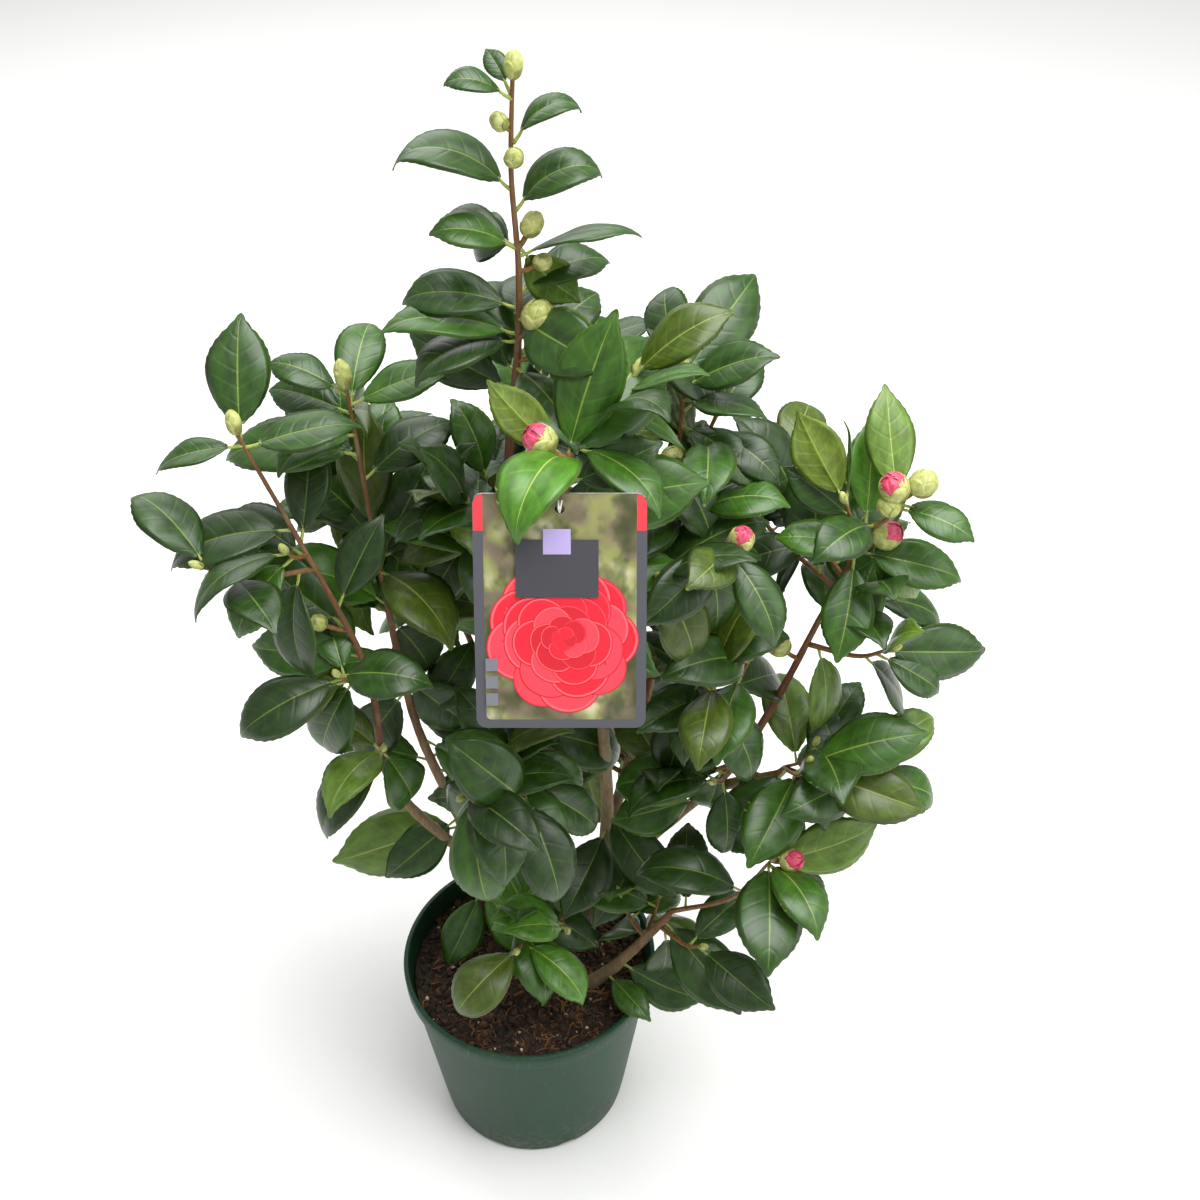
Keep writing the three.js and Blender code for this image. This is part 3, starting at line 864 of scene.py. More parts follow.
def blade_width(s):
    """Half width of the blade as a share of its widest: broad at the foot, drawn out to a point."""
    wave = math.sin(math.pi * min(1.0, max(0.0, s)) ** 0.94)
    drawn_out = 1 - 0.35 * smoothstep(0.74, 0.96, s)
    return wave ** (0.78 if s < 0.48 else 1.02) * drawn_out


def tile_uv(tile, s, v):
    """The corner's place in the tile that its tint has in the shared map."""
    column, row = tile % TILES, tile // TILES
    inner = 1 - 2 * TILE_PAD
    return ((column + TILE_PAD + inner * s) / TILES, (row + TILE_PAD + inner * (v + 1) / 2) / TILES)


def add_leaf(draft, leaf):
    """One leaf: a closed thin blade, folded along its midrib, arched, with a fine-toothed wavy edge."""
    side = leaf.axis.cross(leaf.face).normalized()
    point = leaf.foot + leaf.axis * PETIOLE
    direction, face = leaf.axis.copy(), leaf.face.copy()
    step = leaf.length / STATIONS
    phase = leaf.seed * 2 * math.pi
    lean = (leaf.seed - 0.5) * 0.5
    vertices, rows_top, rows_under = [], [], []
    for k in range(STATIONS + 1):
        s = k / STATIONS
        if k:
            arch = leaf.droop / STATIONS * (0.6 + 0.8 * s)
            curl = TIP_CURL / STATIONS * smoothstep(0.62, 1.0, s)
            turn = Quaternion(side, -(arch + curl))
            direction, face = turn @ direction, turn @ face
            sway = Quaternion(face, lean / STATIONS)
            direction, side = sway @ direction, sway @ side
            roll = Quaternion(direction, leaf.twist / STATIONS)
            side, face = roll @ side, roll @ face
            point = point + direction * step
        half = leaf.width / 2 * blade_width(mix(0.02, 0.985, s))
        tooth = TOOTH * (1 if k % 2 else -0.4) * smoothstep(0.08, 0.2, s)
        top, under = [], []
        for column in COLUMNS:
            across = column * half
            edge = abs(column) ** 2
            if abs(column) == 1.0:
                across += math.copysign(tooth, column)
            sway_phase = phase + (1.3 if column > 0 else 0)
            ripple = leaf.wave * half * edge * math.sin(3.4 * math.pi * s + sway_phase)
            height = leaf.fold * abs(across) - 0.16 * edge * edge * half + ripple
            height -= RIB_GROOVE * (1 - s) * max(0.0, 1 - abs(column) / 0.1)
            forward = direction * (0.3 * step if k % 2 and abs(column) == 1.0 and 0 < k < STATIONS else 0.0)
            place = point + side * across + face * height + forward
            top.append(len(vertices))
            vertices.append(place)
            if abs(column) == 1.0:
                under.append(top[-1])
            else:
                rib = RIB_HEIGHT * (1 - 0.8 * s) if column == 0.0 else 0.0
                under.append(len(vertices))
                vertices.append(place - face * (BLADE_THICKNESS + rib))
        rows_top.append(top)
        rows_under.append(under)
    faces, slots, uvs = [], [], []
    under_slot = len(TOP_TINTS) + leaf.under
    for k in range(STATIONS):
        low, high = k / STATIONS, (k + 1) / STATIONS
        for c in range(len(COLUMNS) - 1):
            left, right = COLUMNS[c], COLUMNS[c + 1]
            a, b = rows_top[k], rows_top[k + 1]
            faces.append((a[c], a[c + 1], b[c + 1], b[c]))
            slots.append(leaf.tint)
            spots = ((low, left), (low, right), (high, right), (high, left))
            uvs.append([tile_uv(leaf.tint, *spot) for spot in spots])
            a, b = rows_under[k], rows_under[k + 1]
            faces.append((a[c + 1], a[c], b[c], b[c + 1]))
            slots.append(under_slot)
            spots = ((low, right), (low, left), (high, left), (high, right))
            uvs.append([tile_uv(under_slot, *spot) for spot in spots])
    for row, end in ((0, 0.0), (STATIONS, 1.0)):
        ring = rows_top[row] + list(reversed(rows_under[row][1:-1]))
        faces.append(tuple(reversed(ring)) if row else tuple(ring))
        slots.append(under_slot)
        spots = [*COLUMNS, *reversed(COLUMNS[1:-1])]
        corners = [tile_uv(under_slot, end, v) for v in spots]
        uvs.append(list(reversed(corners)) if row else corners)
    draft.add(vertices, faces, slots, uvs)


def add_petiole(draft, leaf):
    """The leaf's stalk, from inside its limb to under the foot of the blade."""
    foot = leaf.foot - leaf.axis * 1.2 * MM
    tip = leaf.foot + leaf.axis * (PETIOLE + 1.5 * MM) - leaf.face * 0.5 * MM
    sag = foot.lerp(tip, 0.5) - leaf.face * 0.5 * MM
    points = curve_points([foot, sag, tip], 5)
    vertices, faces = tube_rings(points, [1.25 * MM, 1.05 * MM, 0.95 * MM, 0.85 * MM, 0.5 * MM], 6)
    draft.add(vertices, faces, 1)


# ---------------------------------------------------------------- buds


# Buds no wider than this are drawn with fewer and coarser scales.
SMALL_BUD = 3 * MM
SMALL_BUD_SCALES, SMALL_BUD_STEPS = 6, 5
FLOWER_BUD_SCALES, FLOWER_BUD_STEPS = 11, 8
BUD_PETALS = 6
SCALE_THICKNESS = 0.28 * MM
CORE_RINGS = 8


def egg(radius, length, t):
    """Distance from the axis and along it, at a share t of a bud's way from foot to tip."""
    turn = math.pi * t
    point = 1 + max(0.0, length / radius / 2 - 1.1) * smoothstep(0.4, 1.0, t)
    return radius * math.sin(turn) ** (0.8 * point), length * (1 - math.cos(turn)) / 2


def add_scale(draft, frame_of, radius, length, turn, reach, width, proud, slot, steps):
    """One bud scale or petal: a spoon-shaped patch that hugs the egg, with a rounded thin edge."""
    foot, axis, right, front = frame_of
    layers = []
    for skin in (0.0, -SCALE_THICKNESS):
        layer = []
        for i in range(steps + 1):
            b = i / steps
            for j in range(steps + 1):
                a = 2 * j / steps - 1
                t = mix(0.02, reach * (1 - 0.3 * a * a), b)
                spread = turn + a * width * (1 - 0.28 * b)
                r, h = egg(radius, length, min(0.995, t))
                r += proud * (0.35 + 0.65 * b) + skin - 0.25 * MM * a * a * b
                out = right * math.cos(spread) + front * math.sin(spread)
                layer.append(foot + axis * h + out * max(0.05 * MM, r))
        layers.append(layer)
    vertices = layers[0] + layers[1]
    row, count = steps + 1, len(layers[0])
    faces = []
    for i in range(steps):
        for j in range(steps):
            a, b = i * row + j, (i + 1) * row + j
            faces.append((a, a + 1, b + 1, b))
            faces.append((count + a + 1, count + a, count + b, count + b + 1))
    rim = [j for j in range(steps)] + [i * row + steps for i in range(steps)]
    rim += [steps * row + j for j in range(steps, 0, -1)] + [i * row for i in range(steps, 0, -1)]
    for a, b in zip(rim, rim[1:] + rim[:1]):
        faces.append((b, a, count + a, count + b))
    draft.add(vertices, faces, slot)


def add_bud(draft, bud):
    """A bud of overlapping scales in a spiral. A ripe one shows a knot of pink petals at its tip."""
    outer, inner, petal = 0, 1, 2
    axis = bud.axis
    right = axis.orthogonal().normalized()
    front = axis.cross(right)
    frame_of = (bud.foot - axis * 0.6 * MM, axis, right, front)
    slender = bud.long > 1.45
    length = bud.radius * 2 * bud.long
    count, steps = FLOWER_BUD_SCALES, FLOWER_BUD_STEPS
    if bud.radius < SMALL_BUD:
        count, steps = SMALL_BUD_SCALES, SMALL_BUD_STEPS
    petals = BUD_PETALS if bud.pink > 0 else 0
    for k in range(petals):
        turn = k * GOLDEN + 0.6
        proud = mix(0.2, -0.5, k / petals) * MM
        reach = mix(0.93, 0.99, k / petals)
        long = length * (1.0 + 0.1 * bud.pink)
        add_scale(draft, frame_of, bud.radius * 0.98, long, turn, reach, 1.0, proud, petal, steps)
    for k in range(count):
        share = k / (count - 1)
        top = 0.98 - 0.24 * bud.pink
        reach = mix(0.3, top, share ** 0.8)
        proud = mix(0.75, 0.12, share) * MM * (0.45 if slender else 1.0)
        slot = outer if share < 0.3 else inner
        add_scale(draft, frame_of, bud.radius, length, k * GOLDEN, reach, 1.15, proud, slot, steps)
    rings = [egg(bud.radius, length, i / CORE_RINGS) for i in range(CORE_RINGS + 1)]
    core = [frame_of[0] + axis * height for _, height in rings]
    radii = [max(0.1 * MM, radius * 0.94) for radius, _ in rings]
    vertices, faces = tube_rings(core, radii, 12)
    draft.add(vertices, faces, petal if bud.pink > 0 else inner)
    stalk = [bud.foot - axis * 3 * MM, bud.foot, bud.foot + axis * 1.0 * MM]
    vertices, faces = tube_rings(stalk, [1.0 * MM, 1.3 * MM, 1.6 * MM], 8)
    draft.add(vertices, faces, outer)


# ---------------------------------------------------------------- materials


def add_node(tree, kind, *inputs, out=0, stops=(), **settings):
    """Adds a shader node with its settings and inputs, and gives one of its outputs.

    The inputs stand in their own order, or in one dictionary by name or number, and each is linked where
    it is another node's output. stops are the places and colours of a colour ramp.
    """
    node = tree.nodes.new("ShaderNode" + kind)
    for key, value in settings.items():
        setattr(node, key, value)
    for _ in stops[2:]:
        node.color_ramp.elements.new(0.5)
    for i, (place, colour) in enumerate(stops):
        node.color_ramp.elements[i].position = place
        node.color_ramp.elements[i].color = linear(colour)
    named = inputs and isinstance(inputs[0], dict)
    for key, value in inputs[0].items() if named else enumerate(inputs):
        if isinstance(value, bpy.types.NodeSocket):
            tree.links.new(value, node.inputs[key])
        else:
            node.inputs[key].default_value = value
    return node.outputs[out] if node.outputs else None


def new_material(name):
    """An empty node material and its tree."""
    material = bpy.data.materials.new(name)
    material.use_nodes = True
    material.node_tree.nodes.clear()
    return material, material.node_tree


def add_surface(tree, inputs):
    """Adds the Principled shader with its inputs, and wires it to the material's output."""
    add_node(tree, "OutputMaterial", {"Surface": add_node(tree, "BsdfPrincipled", inputs)})


def object_noise(tree, cell, detail=3.0, stretch=(1, 1, 1)):
    """Noise whose cells are so many metres across, in the piece's own coordinates."""
    place = add_node(tree, "TexCoord", out="Object")
    scale = tuple(1 / (cell * s) for s in stretch)
    mapped = add_node(tree, "Mapping", {"Vector": place, "Scale": scale})
    return add_node(tree, "TexNoise", {"Vector": mapped, "Scale": 1.0, "Detail": detail})


def lay_over(tree, colour, second, where, most=1.0):
    """Lays a second colour over the first where a pattern is high, up to the given share of it."""
    factor = add_node(tree, "Math", where, most, operation="MULTIPLY")
    return add_node(tree, "Mix", {0: factor, 6: colour, 7: second}, out=2, data_type="RGBA")


def scaled(colour, factor, lift=0.0):
    """A linear colour made lighter or darker, opaque."""
    return (*[min(1.0, c * factor + lift) for c in colour[:3]], 1.0)


VEIN_PAIRS = 7


def leaf_material(tint, gloss):
    """Camellia leaf, cured by its own wax: a midrib, faint side veins and a thin pale toothed edge."""
    blade, vein = (linear(c) for c in TINTS[tint])
    under = "under" in tint
    skin = "matt underside, " if under else "waxed, "
    material, tree = new_material("Camellia leaf, " + skin + tint)
    uv = add_node(tree, "UVMap", uv_map=BAKE_MAP)
    # the place on the blade: from 0 to 1 along it, and from side to side
    shares = []
    for axis in ("X", "Y"):
        place = add_node(tree, "SeparateXYZ", uv, out=axis)
        place = add_node(tree, "Math", place, float(TILES), operation="MULTIPLY")
        place = add_node(tree, "Math", place, operation="FRACT")
        shares.append(add_node(tree, "MapRange", place, TILE_PAD, 1 - TILE_PAD))
    along = shares[0]
    # from 0 at the midrib to 1 at the edge
    across = add_node(tree, "MapRange", shares[1], 0.0, 1.0, -1.0, 1.0)
    across = add_node(tree, "Math", across, operation="ABSOLUTE")
    # the midrib: a pale line that thins towards the tip
    rib_width = 0.06 if under else 0.045
    rib_width = add_node(tree, "MapRange", along, 0.0, 1.0, rib_width, rib_width - 0.026)
    rib = add_node(tree, "Math", across, rib_width, operation="DIVIDE")
    rib = add_node(tree, "Math", 1.0, rib, operation="SUBTRACT", use_clamp=True)
    rib = add_node(tree, "Math", rib, 0.6, operation="POWER")
    # the side veins: pairs that lean towards the tip and fade before the edge
    lean = add_node(tree, "Math", across, 1.25, operation="POWER")
    lean = add_node(tree, "Math", lean, 0.17, operation="MULTIPLY")
    phase = add_node(tree, "Math", along, lean, operation="SUBTRACT")
    phase = add_node(tree, "Math", phase, VEIN_PAIRS * 2 * math.pi, operation="MULTIPLY")
    veins = add_node(tree, "Math", phase, operation="SINE")
    veins = add_node(tree, "MapRange", veins, -1.0, 1.0)
    veins = add_node(tree, "Math", veins, 9.0, operation="POWER")
    fade = add_node(tree, "Math", across, 3.0, operation="POWER")
    fade = add_node(tree, "Math", 1.0, fade, operation="SUBTRACT", use_clamp=True)
    veins = add_node(tree, "Math", veins, fade, operation="MULTIPLY")
    # clouding of the green, from cell to cell
    cloud = add_node(tree, "Mapping", {"Vector": uv, "Scale": (9.0, 9.0, 1.0)})
    cloud = add_node(tree, "TexNoise", {"Vector": cloud, "Scale": 2.2, "Detail": 4.0})
    clouded = add_node(tree, "MapRange", cloud, 0.32, 0.68)
    edge = add_node(tree, "MapRange", across, 0.93, 0.99)
    colour = lay_over(tree, scaled(blade, 0.72), scaled(blade, 1.45), clouded)
    colour = lay_over(tree, colour, vein, veins, 0.18 if under else 0.05)
    colour = lay_over(tree, colour, vein, rib, 0.9)
    colour = lay_over(tree, colour, vein, edge, 0.4)
    relief = add_node(tree, "Math", veins, cloud, operation="ADD")
    relief = add_node(tree, "Math", relief, 1.0 if under else -1.0, operation="MULTIPLY")
    normal = add_node(tree, "Bump", {"Height": relief, "Distance": 0.13 * MM})
    inputs = {"Base Color": colour, "Normal": normal, "Roughness": 0.62, "IOR": 1.45}
    if not under:
        inputs["Roughness"] = add_node(tree, "MapRange", {0: cloud, 3: gloss - 0.06, 4: gloss + 0.08})
        inputs.update({"Coat Weight": 0.2, "Coat Roughness": 0.3})
    add_surface(tree, inputs)
    return material


def bark_material():
    """Camellia bark, smooth grown and weathered: tan and streaked on old wood, red-brown on young."""
    material, tree = new_material("Camellia bark, smooth and finely streaked")
    age = add_node(tree, "Attribute", attribute_name="age", out="Fac")
    stops = [(0.0, "#8d7858"), (0.35, "#85694a"), (0.6, "#7d5534"), (0.85, "#774428"), (1.0, "#7f5530")]
    colour = add_node(tree, "ValToRGB", age, stops=stops)
    streaks = object_noise(tree, 2.2 * MM, 5.0, (1, 1, 7))
    dark = add_node(tree, "MapRange", streaks, 0.35, 0.7)
    colour = lay_over(tree, colour, linear("#4a3a28"), dark, 0.5)
    pale = add_node(tree, "MapRange", object_noise(tree, 16 * MM, 3.0, (1, 1, 1.6)), 0.52, 0.75)
    colour = lay_over(tree, colour, linear("#a69c80"), pale, 0.4)
    normal = add_node(tree, "Bump", {"Height": streaks, "Distance": 0.5 * MM})
    add_surface(tree, {"Base Color": colour, "Roughness": 0.72, "Normal": normal})
    return material


def shoot_material(name, low, high, roughness):
    """Young growth or vinyl, smooth skinned: a mottled colour between two tones."""
    material, tree = new_material(name)
    patches = object_noise(tree, 3 * MM)
    tone = add_node(tree, "MapRange", patches, 0.3, 0.7)
    colour = lay_over(tree, linear(low), linear(high), tone)
    normal = add_node(tree, "Bump", {"Height": patches, "Distance": 0.15 * MM})
    add_surface(tree, {"Base Color": colour, "Roughness": roughness, "Normal": normal})
    return material


# How far dust reaches up from the pot's foot, and scuffs down from its rim.
DUST_REACH = 50 * MM
SCUFF_REACH = 30 * MM


def plastic_material(settings, foot, top):
    """Polypropylene, injection moulded: cloudy green, fine-grained, scuffed high up and dusty at the foot."""
    material, tree = new_material("Polypropylene, injection moulded, dark green")
    clouds = object_noise(tree, 26 * MM, 5.0)
    tone = add_node(tree, "MapRange", clouds, 0.3, 0.7)
    colour = lay_over(tree, (*settings.colour, 1), scaled(settings.colour, 1.5, 0.01), tone, 0.55)
    place = add_node(tree, "TexCoord", out="Object")
    height = add_node(tree, "SeparateXYZ", place, out="Z")
    dusty = add_node(tree, "MapRange", height, foot + DUST_REACH, foot, 0.0, 0.5)
    speckle = add_node(tree, "MapRange", object_noise(tree, 5 * MM, 6.0), 0.5, 0.72)
    colour = lay_over(tree, colour, linear("#7d7460"), dusty, speckle)
    scratches = object_noise(tree, 1.6 * MM, 4.0, (1, 1, 9))
    scuffed = add_node(tree, "MapRange", scratches, 0.62, 0.74, 0.0, 0.35)
    rim = add_node(tree, "MapRange", height, top - SCUFF_REACH, top, 0.25, 1.0)
    colour = lay_over(tree, colour, linear("#8fa493"), scuffed, rim)
    smooth, dull = settings.roughness - 0.08, settings.roughness + 0.1
    rough = add_node(tree, "MapRange", {0: clouds, 3: smooth, 4: dull})
    normal = add_node(tree, "Bump", {"Height": object_noise(tree, 0.9 * MM, 2.0), "Distance": 0.08 * MM})
    inputs = {"Base Color": colour, "Roughness": rough, "Normal": normal}
    add_surface(tree, {**inputs, "IOR": 1.49, "Specular IOR Level": 0.25})
    return material


def compost_material(name, dark, light, roughness=0.95):
    """Peat compost, crumbled and damp: near-black to brown from crumb to crumb."""
    material, tree = new_material(name)
    fine = object_noise(tree, 1.3 * MM, 4.0)
    tone = add_node(tree, "Math", object_noise(tree, 7 * MM, 6.0), fine, operation="MULTIPLY")
    tone = add_node(tree, "MapRange", tone, 0.15, 0.38)
    colour = lay_over(tree, linear(dark), linear(light), tone)
    normal = add_node(tree, "Bump", {"Height": fine, "Distance": 1.2 * MM})
    add_surface(tree, {"Base Color": colour, "Roughness": roughness, "Normal": normal})
    return material


PRINT_ROUGHNESS = 0.34


def print_material(name, ink):
    """Coated card, printed and varnished: one ink, with the faint unevenness of its varnish."""
    material, tree = new_material(name)
    varnish = object_noise(tree, 9 * MM, 2.0)
    smooth, dull = PRINT_ROUGHNESS - 0.04, PRINT_ROUGHNESS + 0.06
    rough = add_node(tree, "MapRange", {0: varnish, 3: smooth, 4: dull})
    colour = lay_over(tree, linear(ink), scaled(linear(ink), 0.9), varnish)
    add_surface(tree, {"Base Color": colour, "Roughness": rough})
    return material


def picture_material():
    """Coated card, printed with an out-of-focus garden: soft blotches of olive, grey and green."""
    material, tree = new_material("Coated card, printed with a blurred garden")
    stops = [(0.3, "#2f3322"), (0.42, "#5d5a3c"), (0.51, "#7a6d5a"), (0.6, "#8f9356"), (0.72, "#c9c3a0")]
    colour = add_node(tree, "ValToRGB", object_noise(tree, 21 * MM, 1.5), stops=stops)
    leaves = object_noise(tree, 9 * MM, 2.0, (1, 1, 1.5))
    green = add_node(tree, "MapRange", leaves, 0.5, 0.68, 0.0, 0.7)
    colour = lay_over(tree, colour, linear("#33451c"), green)
    add_surface(tree, {"Base Color": colour, "Roughness": PRINT_ROUGHNESS})
    return material


def floor_material(colour):
    """Seamless paper, matt: a plain pale flat floor with the slightest tooth."""
    material, tree = new_material("Seamless paper, matt")
    tooth = object_noise(tree, 4 * MM, 2.0)
    colour = lay_over(tree, (*colour, 1), scaled(colour, 0.985), tooth)
    add_surface(tree, {"Base Color": colour, "Roughness": 0.9})
    return material


# ---------------------------------------------------------------- limbs

RING_STEP = 3.2 * MM
LIMB_SIDES = 18
# Wood turns from old to young between these radii, and young wood is this much thinner than its solid.
OLD_WOOD = 4.6 * MM
YOUNG_WOOD = 1.6 * MM
YOUNG_TAPER = 0.78
# Nodes, where leaves have been, start this far up a limb and follow each other at such distances.
FIRST_NODE = 30 * MM
NODE_GAPS = (22 * MM, 36 * MM)
NODE_REACH = 3.5 * MM
# The bark's relief, in shares of the radius, and how fine it is: round the limb, and in waves per metre.
RIDGE_DEPTH, RIDGES_ROUND, RIDGES_ALONG = 0.07, 2.4, 60
LUMP_DEPTH, LUMPS = 0.06, 110
# The oldest wood's age value, kept above 0 because a piece with no values has no such attribute.
OLDEST = 0.001


def youth(radius):
    """How young the wood is where a limb has this radius, from 0 to 1."""
    return smoothstep(OLD_WOOD, YOUNG_WOOD, radius)


def limb_draft(carrier):
    """A limb with bark relief: fine ridges along it, lumps, and a swelling to one side at each node."""
    length = sum((b - a).length for a, b in zip(carrier.points, carrier.points[1:]))
    count = int(length / RING_STEP)
    points = curve_points(carrier.points, count)
    radii = []
    for i in range(count):
        along = i / (count - 1) * (len(carrier.radii) - 1)
        k = min(int(along), len(carrier.radii) - 2)
        radius = mix(carrier.radii[k], carrier.radii[k + 1], along - k)
        radii.append(radius * mix(1.0, YOUNG_TAPER, youth(radius)))
    rng = random.Random(carrier.name)
    nodes = []
    place = FIRST_NODE
    while place < length:
        nodes.append((place, rng.uniform(0, 2 * math.pi), rng.uniform(0.06, 0.16)))
        place += rng.uniform(*NODE_GAPS)

    def relief(point, out, i):
        """How far the bark stands out at a place, as a share of the radius."""
        along = i / (count - 1) * length
        grain = Vector((out.x * RIDGES_ROUND, out.y * RIDGES_ROUND, along * RIDGES_ALONG + len(carrier.name)))
        ridges = noise.noise(grain)
        lumps = noise.noise(point * LUMPS)
        side = math.atan2(out.y, out.x)
        swell = 0
        for place, turn, size in nodes:
            near = math.exp(-((along - place) / NODE_REACH) ** 2)
            swell += size * near * (0.5 + 0.5 * math.cos(side - turn))
        return RIDGE_DEPTH * ridges + LUMP_DEPTH * lumps + swell

    ages = []
    for radius in radii:
        ages.extend([max(OLDEST, youth(radius))] * LIMB_SIDES)
    draft = MeshDraft()
    vertices, faces = tube_rings(points, radii, LIMB_SIDES, relief)
    draft.add(vertices, faces, 0, shade=ages)
    return draft


# ---------------------------------------------------------------- pot and compost

# The band under the rim stands out by this much from the wall.
BAND_STEP = 2.2 * MM
# Corners no higher than this over the underside belong to the pot's foot.
FOOT_BEVEL_ROOM = 6 * MM


class PotShape:
    """The pot's sizes, read from its node: how wide it is at any height, and its levels."""

    def __init__(self):
        low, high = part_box("pot")
        self.foot, self.top = low.z, high.z
        self.rim = (high.x - low.x) / 2
        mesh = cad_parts["pot"].data
        near = [v.co for v in mesh.vertices if v.co.z < self.foot + FOOT_BEVEL_ROOM]
        self.base = max(math.hypot(c.x, c.y) for c in near)

    def radius(self, height):
        """Radius of the wall's outside at a height."""
        return mix(self.base, self.rim - BAND_STEP, (height - self.foot) / (self.top - self.foot))


LATHE_SEGMENTS = 120
POT_WALL = 1.8 * MM
POT_FLOOR = 2.4 * MM
FOOT_BEVEL = 3.5 * MM
# The underside is hollow inside a ring that the pot stands on.
UNDERSIDE_HOLLOW = 1.6 * MM
RIM_BAND = 13 * MM
# A moulded pot is never quite round at its rim.
OUT_OF_ROUND = 0.35 * MM
DRAIN_NOTCHES = 8
NOTCH_SIZE = (15 * MM, 5 * MM)
# The right half of a notch's arch, from its foot up, in shares of the notch's width and height.
NOTCH_ARCH = ((0.5, -1.0), (0.5, 0.45), (0.36, 0.85), (0.2, 1.0))
# The cutters reach this far inside and outside the foot's edge.
NOTCH_DEPTHS = (-7 * MM, 6 * MM)


def lathe(profile, segments, wobble=None):
    """Vertices and faces of a profile of (radius, height) turned round the upright axis."""
    vertices, faces = [], []
    rings = []
    for radius, height in profile:
        if radius < 1e-6:
            rings.append([len(vertices)])
            vertices.append(Vector((0, 0, height)))
            continue
        ring = []
        for k in range(segments):
            turn = 2 * math.pi * k / segments
            r = radius + (wobble(turn, height) if wobble else 0)
            ring.append(len(vertices))
            vertices.append(Vector((r * math.cos(turn), r * math.sin(turn), height)))
        rings.append(ring)
    for low, high in zip(rings, rings[1:]):
        for k in range(segments):
            n = (k + 1) % segments
            if len(low) == 1:
                faces.append((low[0], high[n], high[k]))
            elif len(high) == 1:
                faces.append((low[k], low[n], high[0]))
            else:
                faces.append((low[k], low[n], high[n], high[k]))
    return vertices, faces


def pot_profile(shape):
    """The wall's outline from the middle of the underside, up the outside, over the rim and down inside."""
    foot, top, base, bevel = shape.foot, shape.top, shape.base, FOOT_BEVEL
    hollow = foot + UNDERSIDE_HOLLOW
    outer = [(0, hollow), (base * 0.78, hollow), (base * 0.82, foot)]
    outer += [(base - bevel, foot), (base - bevel * 0.3, foot + bevel * 0.3), (base, foot + bevel)]
    under_band = top - RIM_BAND
    wall_steps = 7
    for k in range(1, wall_steps + 1):
        height = mix(foot + bevel, under_band - 1.2 * MM, k / wall_steps)
        outer.append((shape.radius(height), height))
    rim = shape.rim
    outer += [(rim - 0.9 * MM, under_band), (rim - 0.5 * MM, under_band + 1.0 * MM)]
    outer += [(rim - 0.2 * MM, top - 5 * MM), (rim, top - 1.6 * MM)]
    outer += [(rim - 0.5 * MM, top - 0.4 * MM), (rim - 1.3 * MM, top)]
    inner = [(rim - 3.2 * MM, top), (rim - 3.9 * MM, top - 0.6 * MM), (rim - 4.2 * MM, top - 2.2 * MM)]
    for k in range(wall_steps + 1):
        height = mix(top - 6 * MM, foot + POT_FLOOR + 3 * MM, k / wall_steps)
        inner.append((shape.radius(height) - POT_WALL, height))
    inner += [(base - POT_WALL - 3 * MM, foot + POT_FLOOR), (0, foot + POT_FLOOR)]
    return outer + inner


def cut_away(piece, draft):
    """Cuts the draft's closed shapes out of the piece."""
    mesh = bpy.data.meshes.new("cutter")
    mesh.from_pydata([tuple(v) for v in draft.vertices], [], draft.faces)
    cutter = bpy.data.objects.new("cutter", mesh)
    bpy.context.scene.collection.objects.link(cutter)
    modifier = piece.modifiers.new("cut", "BOOLEAN")
    modifier.object = cutter
    modifier.operation = "DIFFERENCE"
    modifier.solver = "EXACT"
    bpy.context.view_layer.update()
    done = bpy.data.meshes.new_from_object(piece.evaluated_get(bpy.context.evaluated_depsgraph_get()))
    piece.modifiers.remove(modifier)
    piece.data = done
    bpy.data.objects.remove(cutter)


def prism_faces(count):
    """Faces of a prism whose two ends have so many corners each, one end's corners after the other's."""
    sides = [(i, (i + 1) % count, (i + 1) % count + count, i + count) for i in range(count)]
    return [tuple(reversed(range(count))), tuple(range(count, 2 * count)), *sides]


def drain_notches(shape):
    """The closed shapes that cut the drain notches round the pot's foot."""
    cutter = MeshDraft()
    wide, tall = NOTCH_SIZE
    right = [(wide * across, tall * up) for across, up in NOTCH_ARCH]
    arch = [(-wide / 2, -tall), *right, *((-y, z) for y, z in reversed(right[1:]))]
    for k in range(DRAIN_NOTCHES):
        turn = Matrix.Rotation(2 * math.pi * (k + 0.5) / DRAIN_NOTCHES, 4, "Z")
        corners = []
        for depth in NOTCH_DEPTHS:
            corners += [turn @ Vector((shape.base + depth, y, z + shape.foot)) for y, z in arch]
        cutter.add(corners, prism_faces(len(arch)))
    return cutter


def pot_object(settings):
    """The pot's shell, lathed and then notched at its foot."""
    shape = PotShape()
    draft = MeshDraft()

    def sway(turn, height):
        """How far the wall stands out at a side and height."""
        return OUT_OF_ROUND * math.sin(2 * turn + 0.7) * smoothstep(shape.foot, shape.top, height)

    vertices, faces = lathe(pot_profile(shape), LATHE_SEGMENTS, sway)
    draft.add(vertices, faces)
    material = plastic_material(settings, shape.foot, shape.top)
    piece = draft.piece("pot_shell", [material], sharp=40)
    cut_away(piece, drain_notches(shape))
    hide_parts("pot")
    return piece


# The compost's surface: rings and segments, its lumps and grains as (depth, waves per metre), its depth.
BED_RINGS = 44
BED_SEGMENTS = 150
BED_LUMPS = (2.6 * MM, 60)
BED_GRAINS = (1.4 * MM, 190)
BED_DEPTH = 22 * MM
# Sizes of the crumbs' half width, and of the three kinds the shares that are peat, bark and grit.
CRUMB_SIZES = (0.7, 0.9, 1.1, 1.4, 1.9, 2.6, 3.4)
CRUMB_SHARES = (10, 4, 1)
PEAT, BARK, GRIT, FIBRE = range(4)
CRUMB_SIDES = 5
FIBRE_TAPER = (0.5, 0.9, 1, 1, 0.8, 0.4)


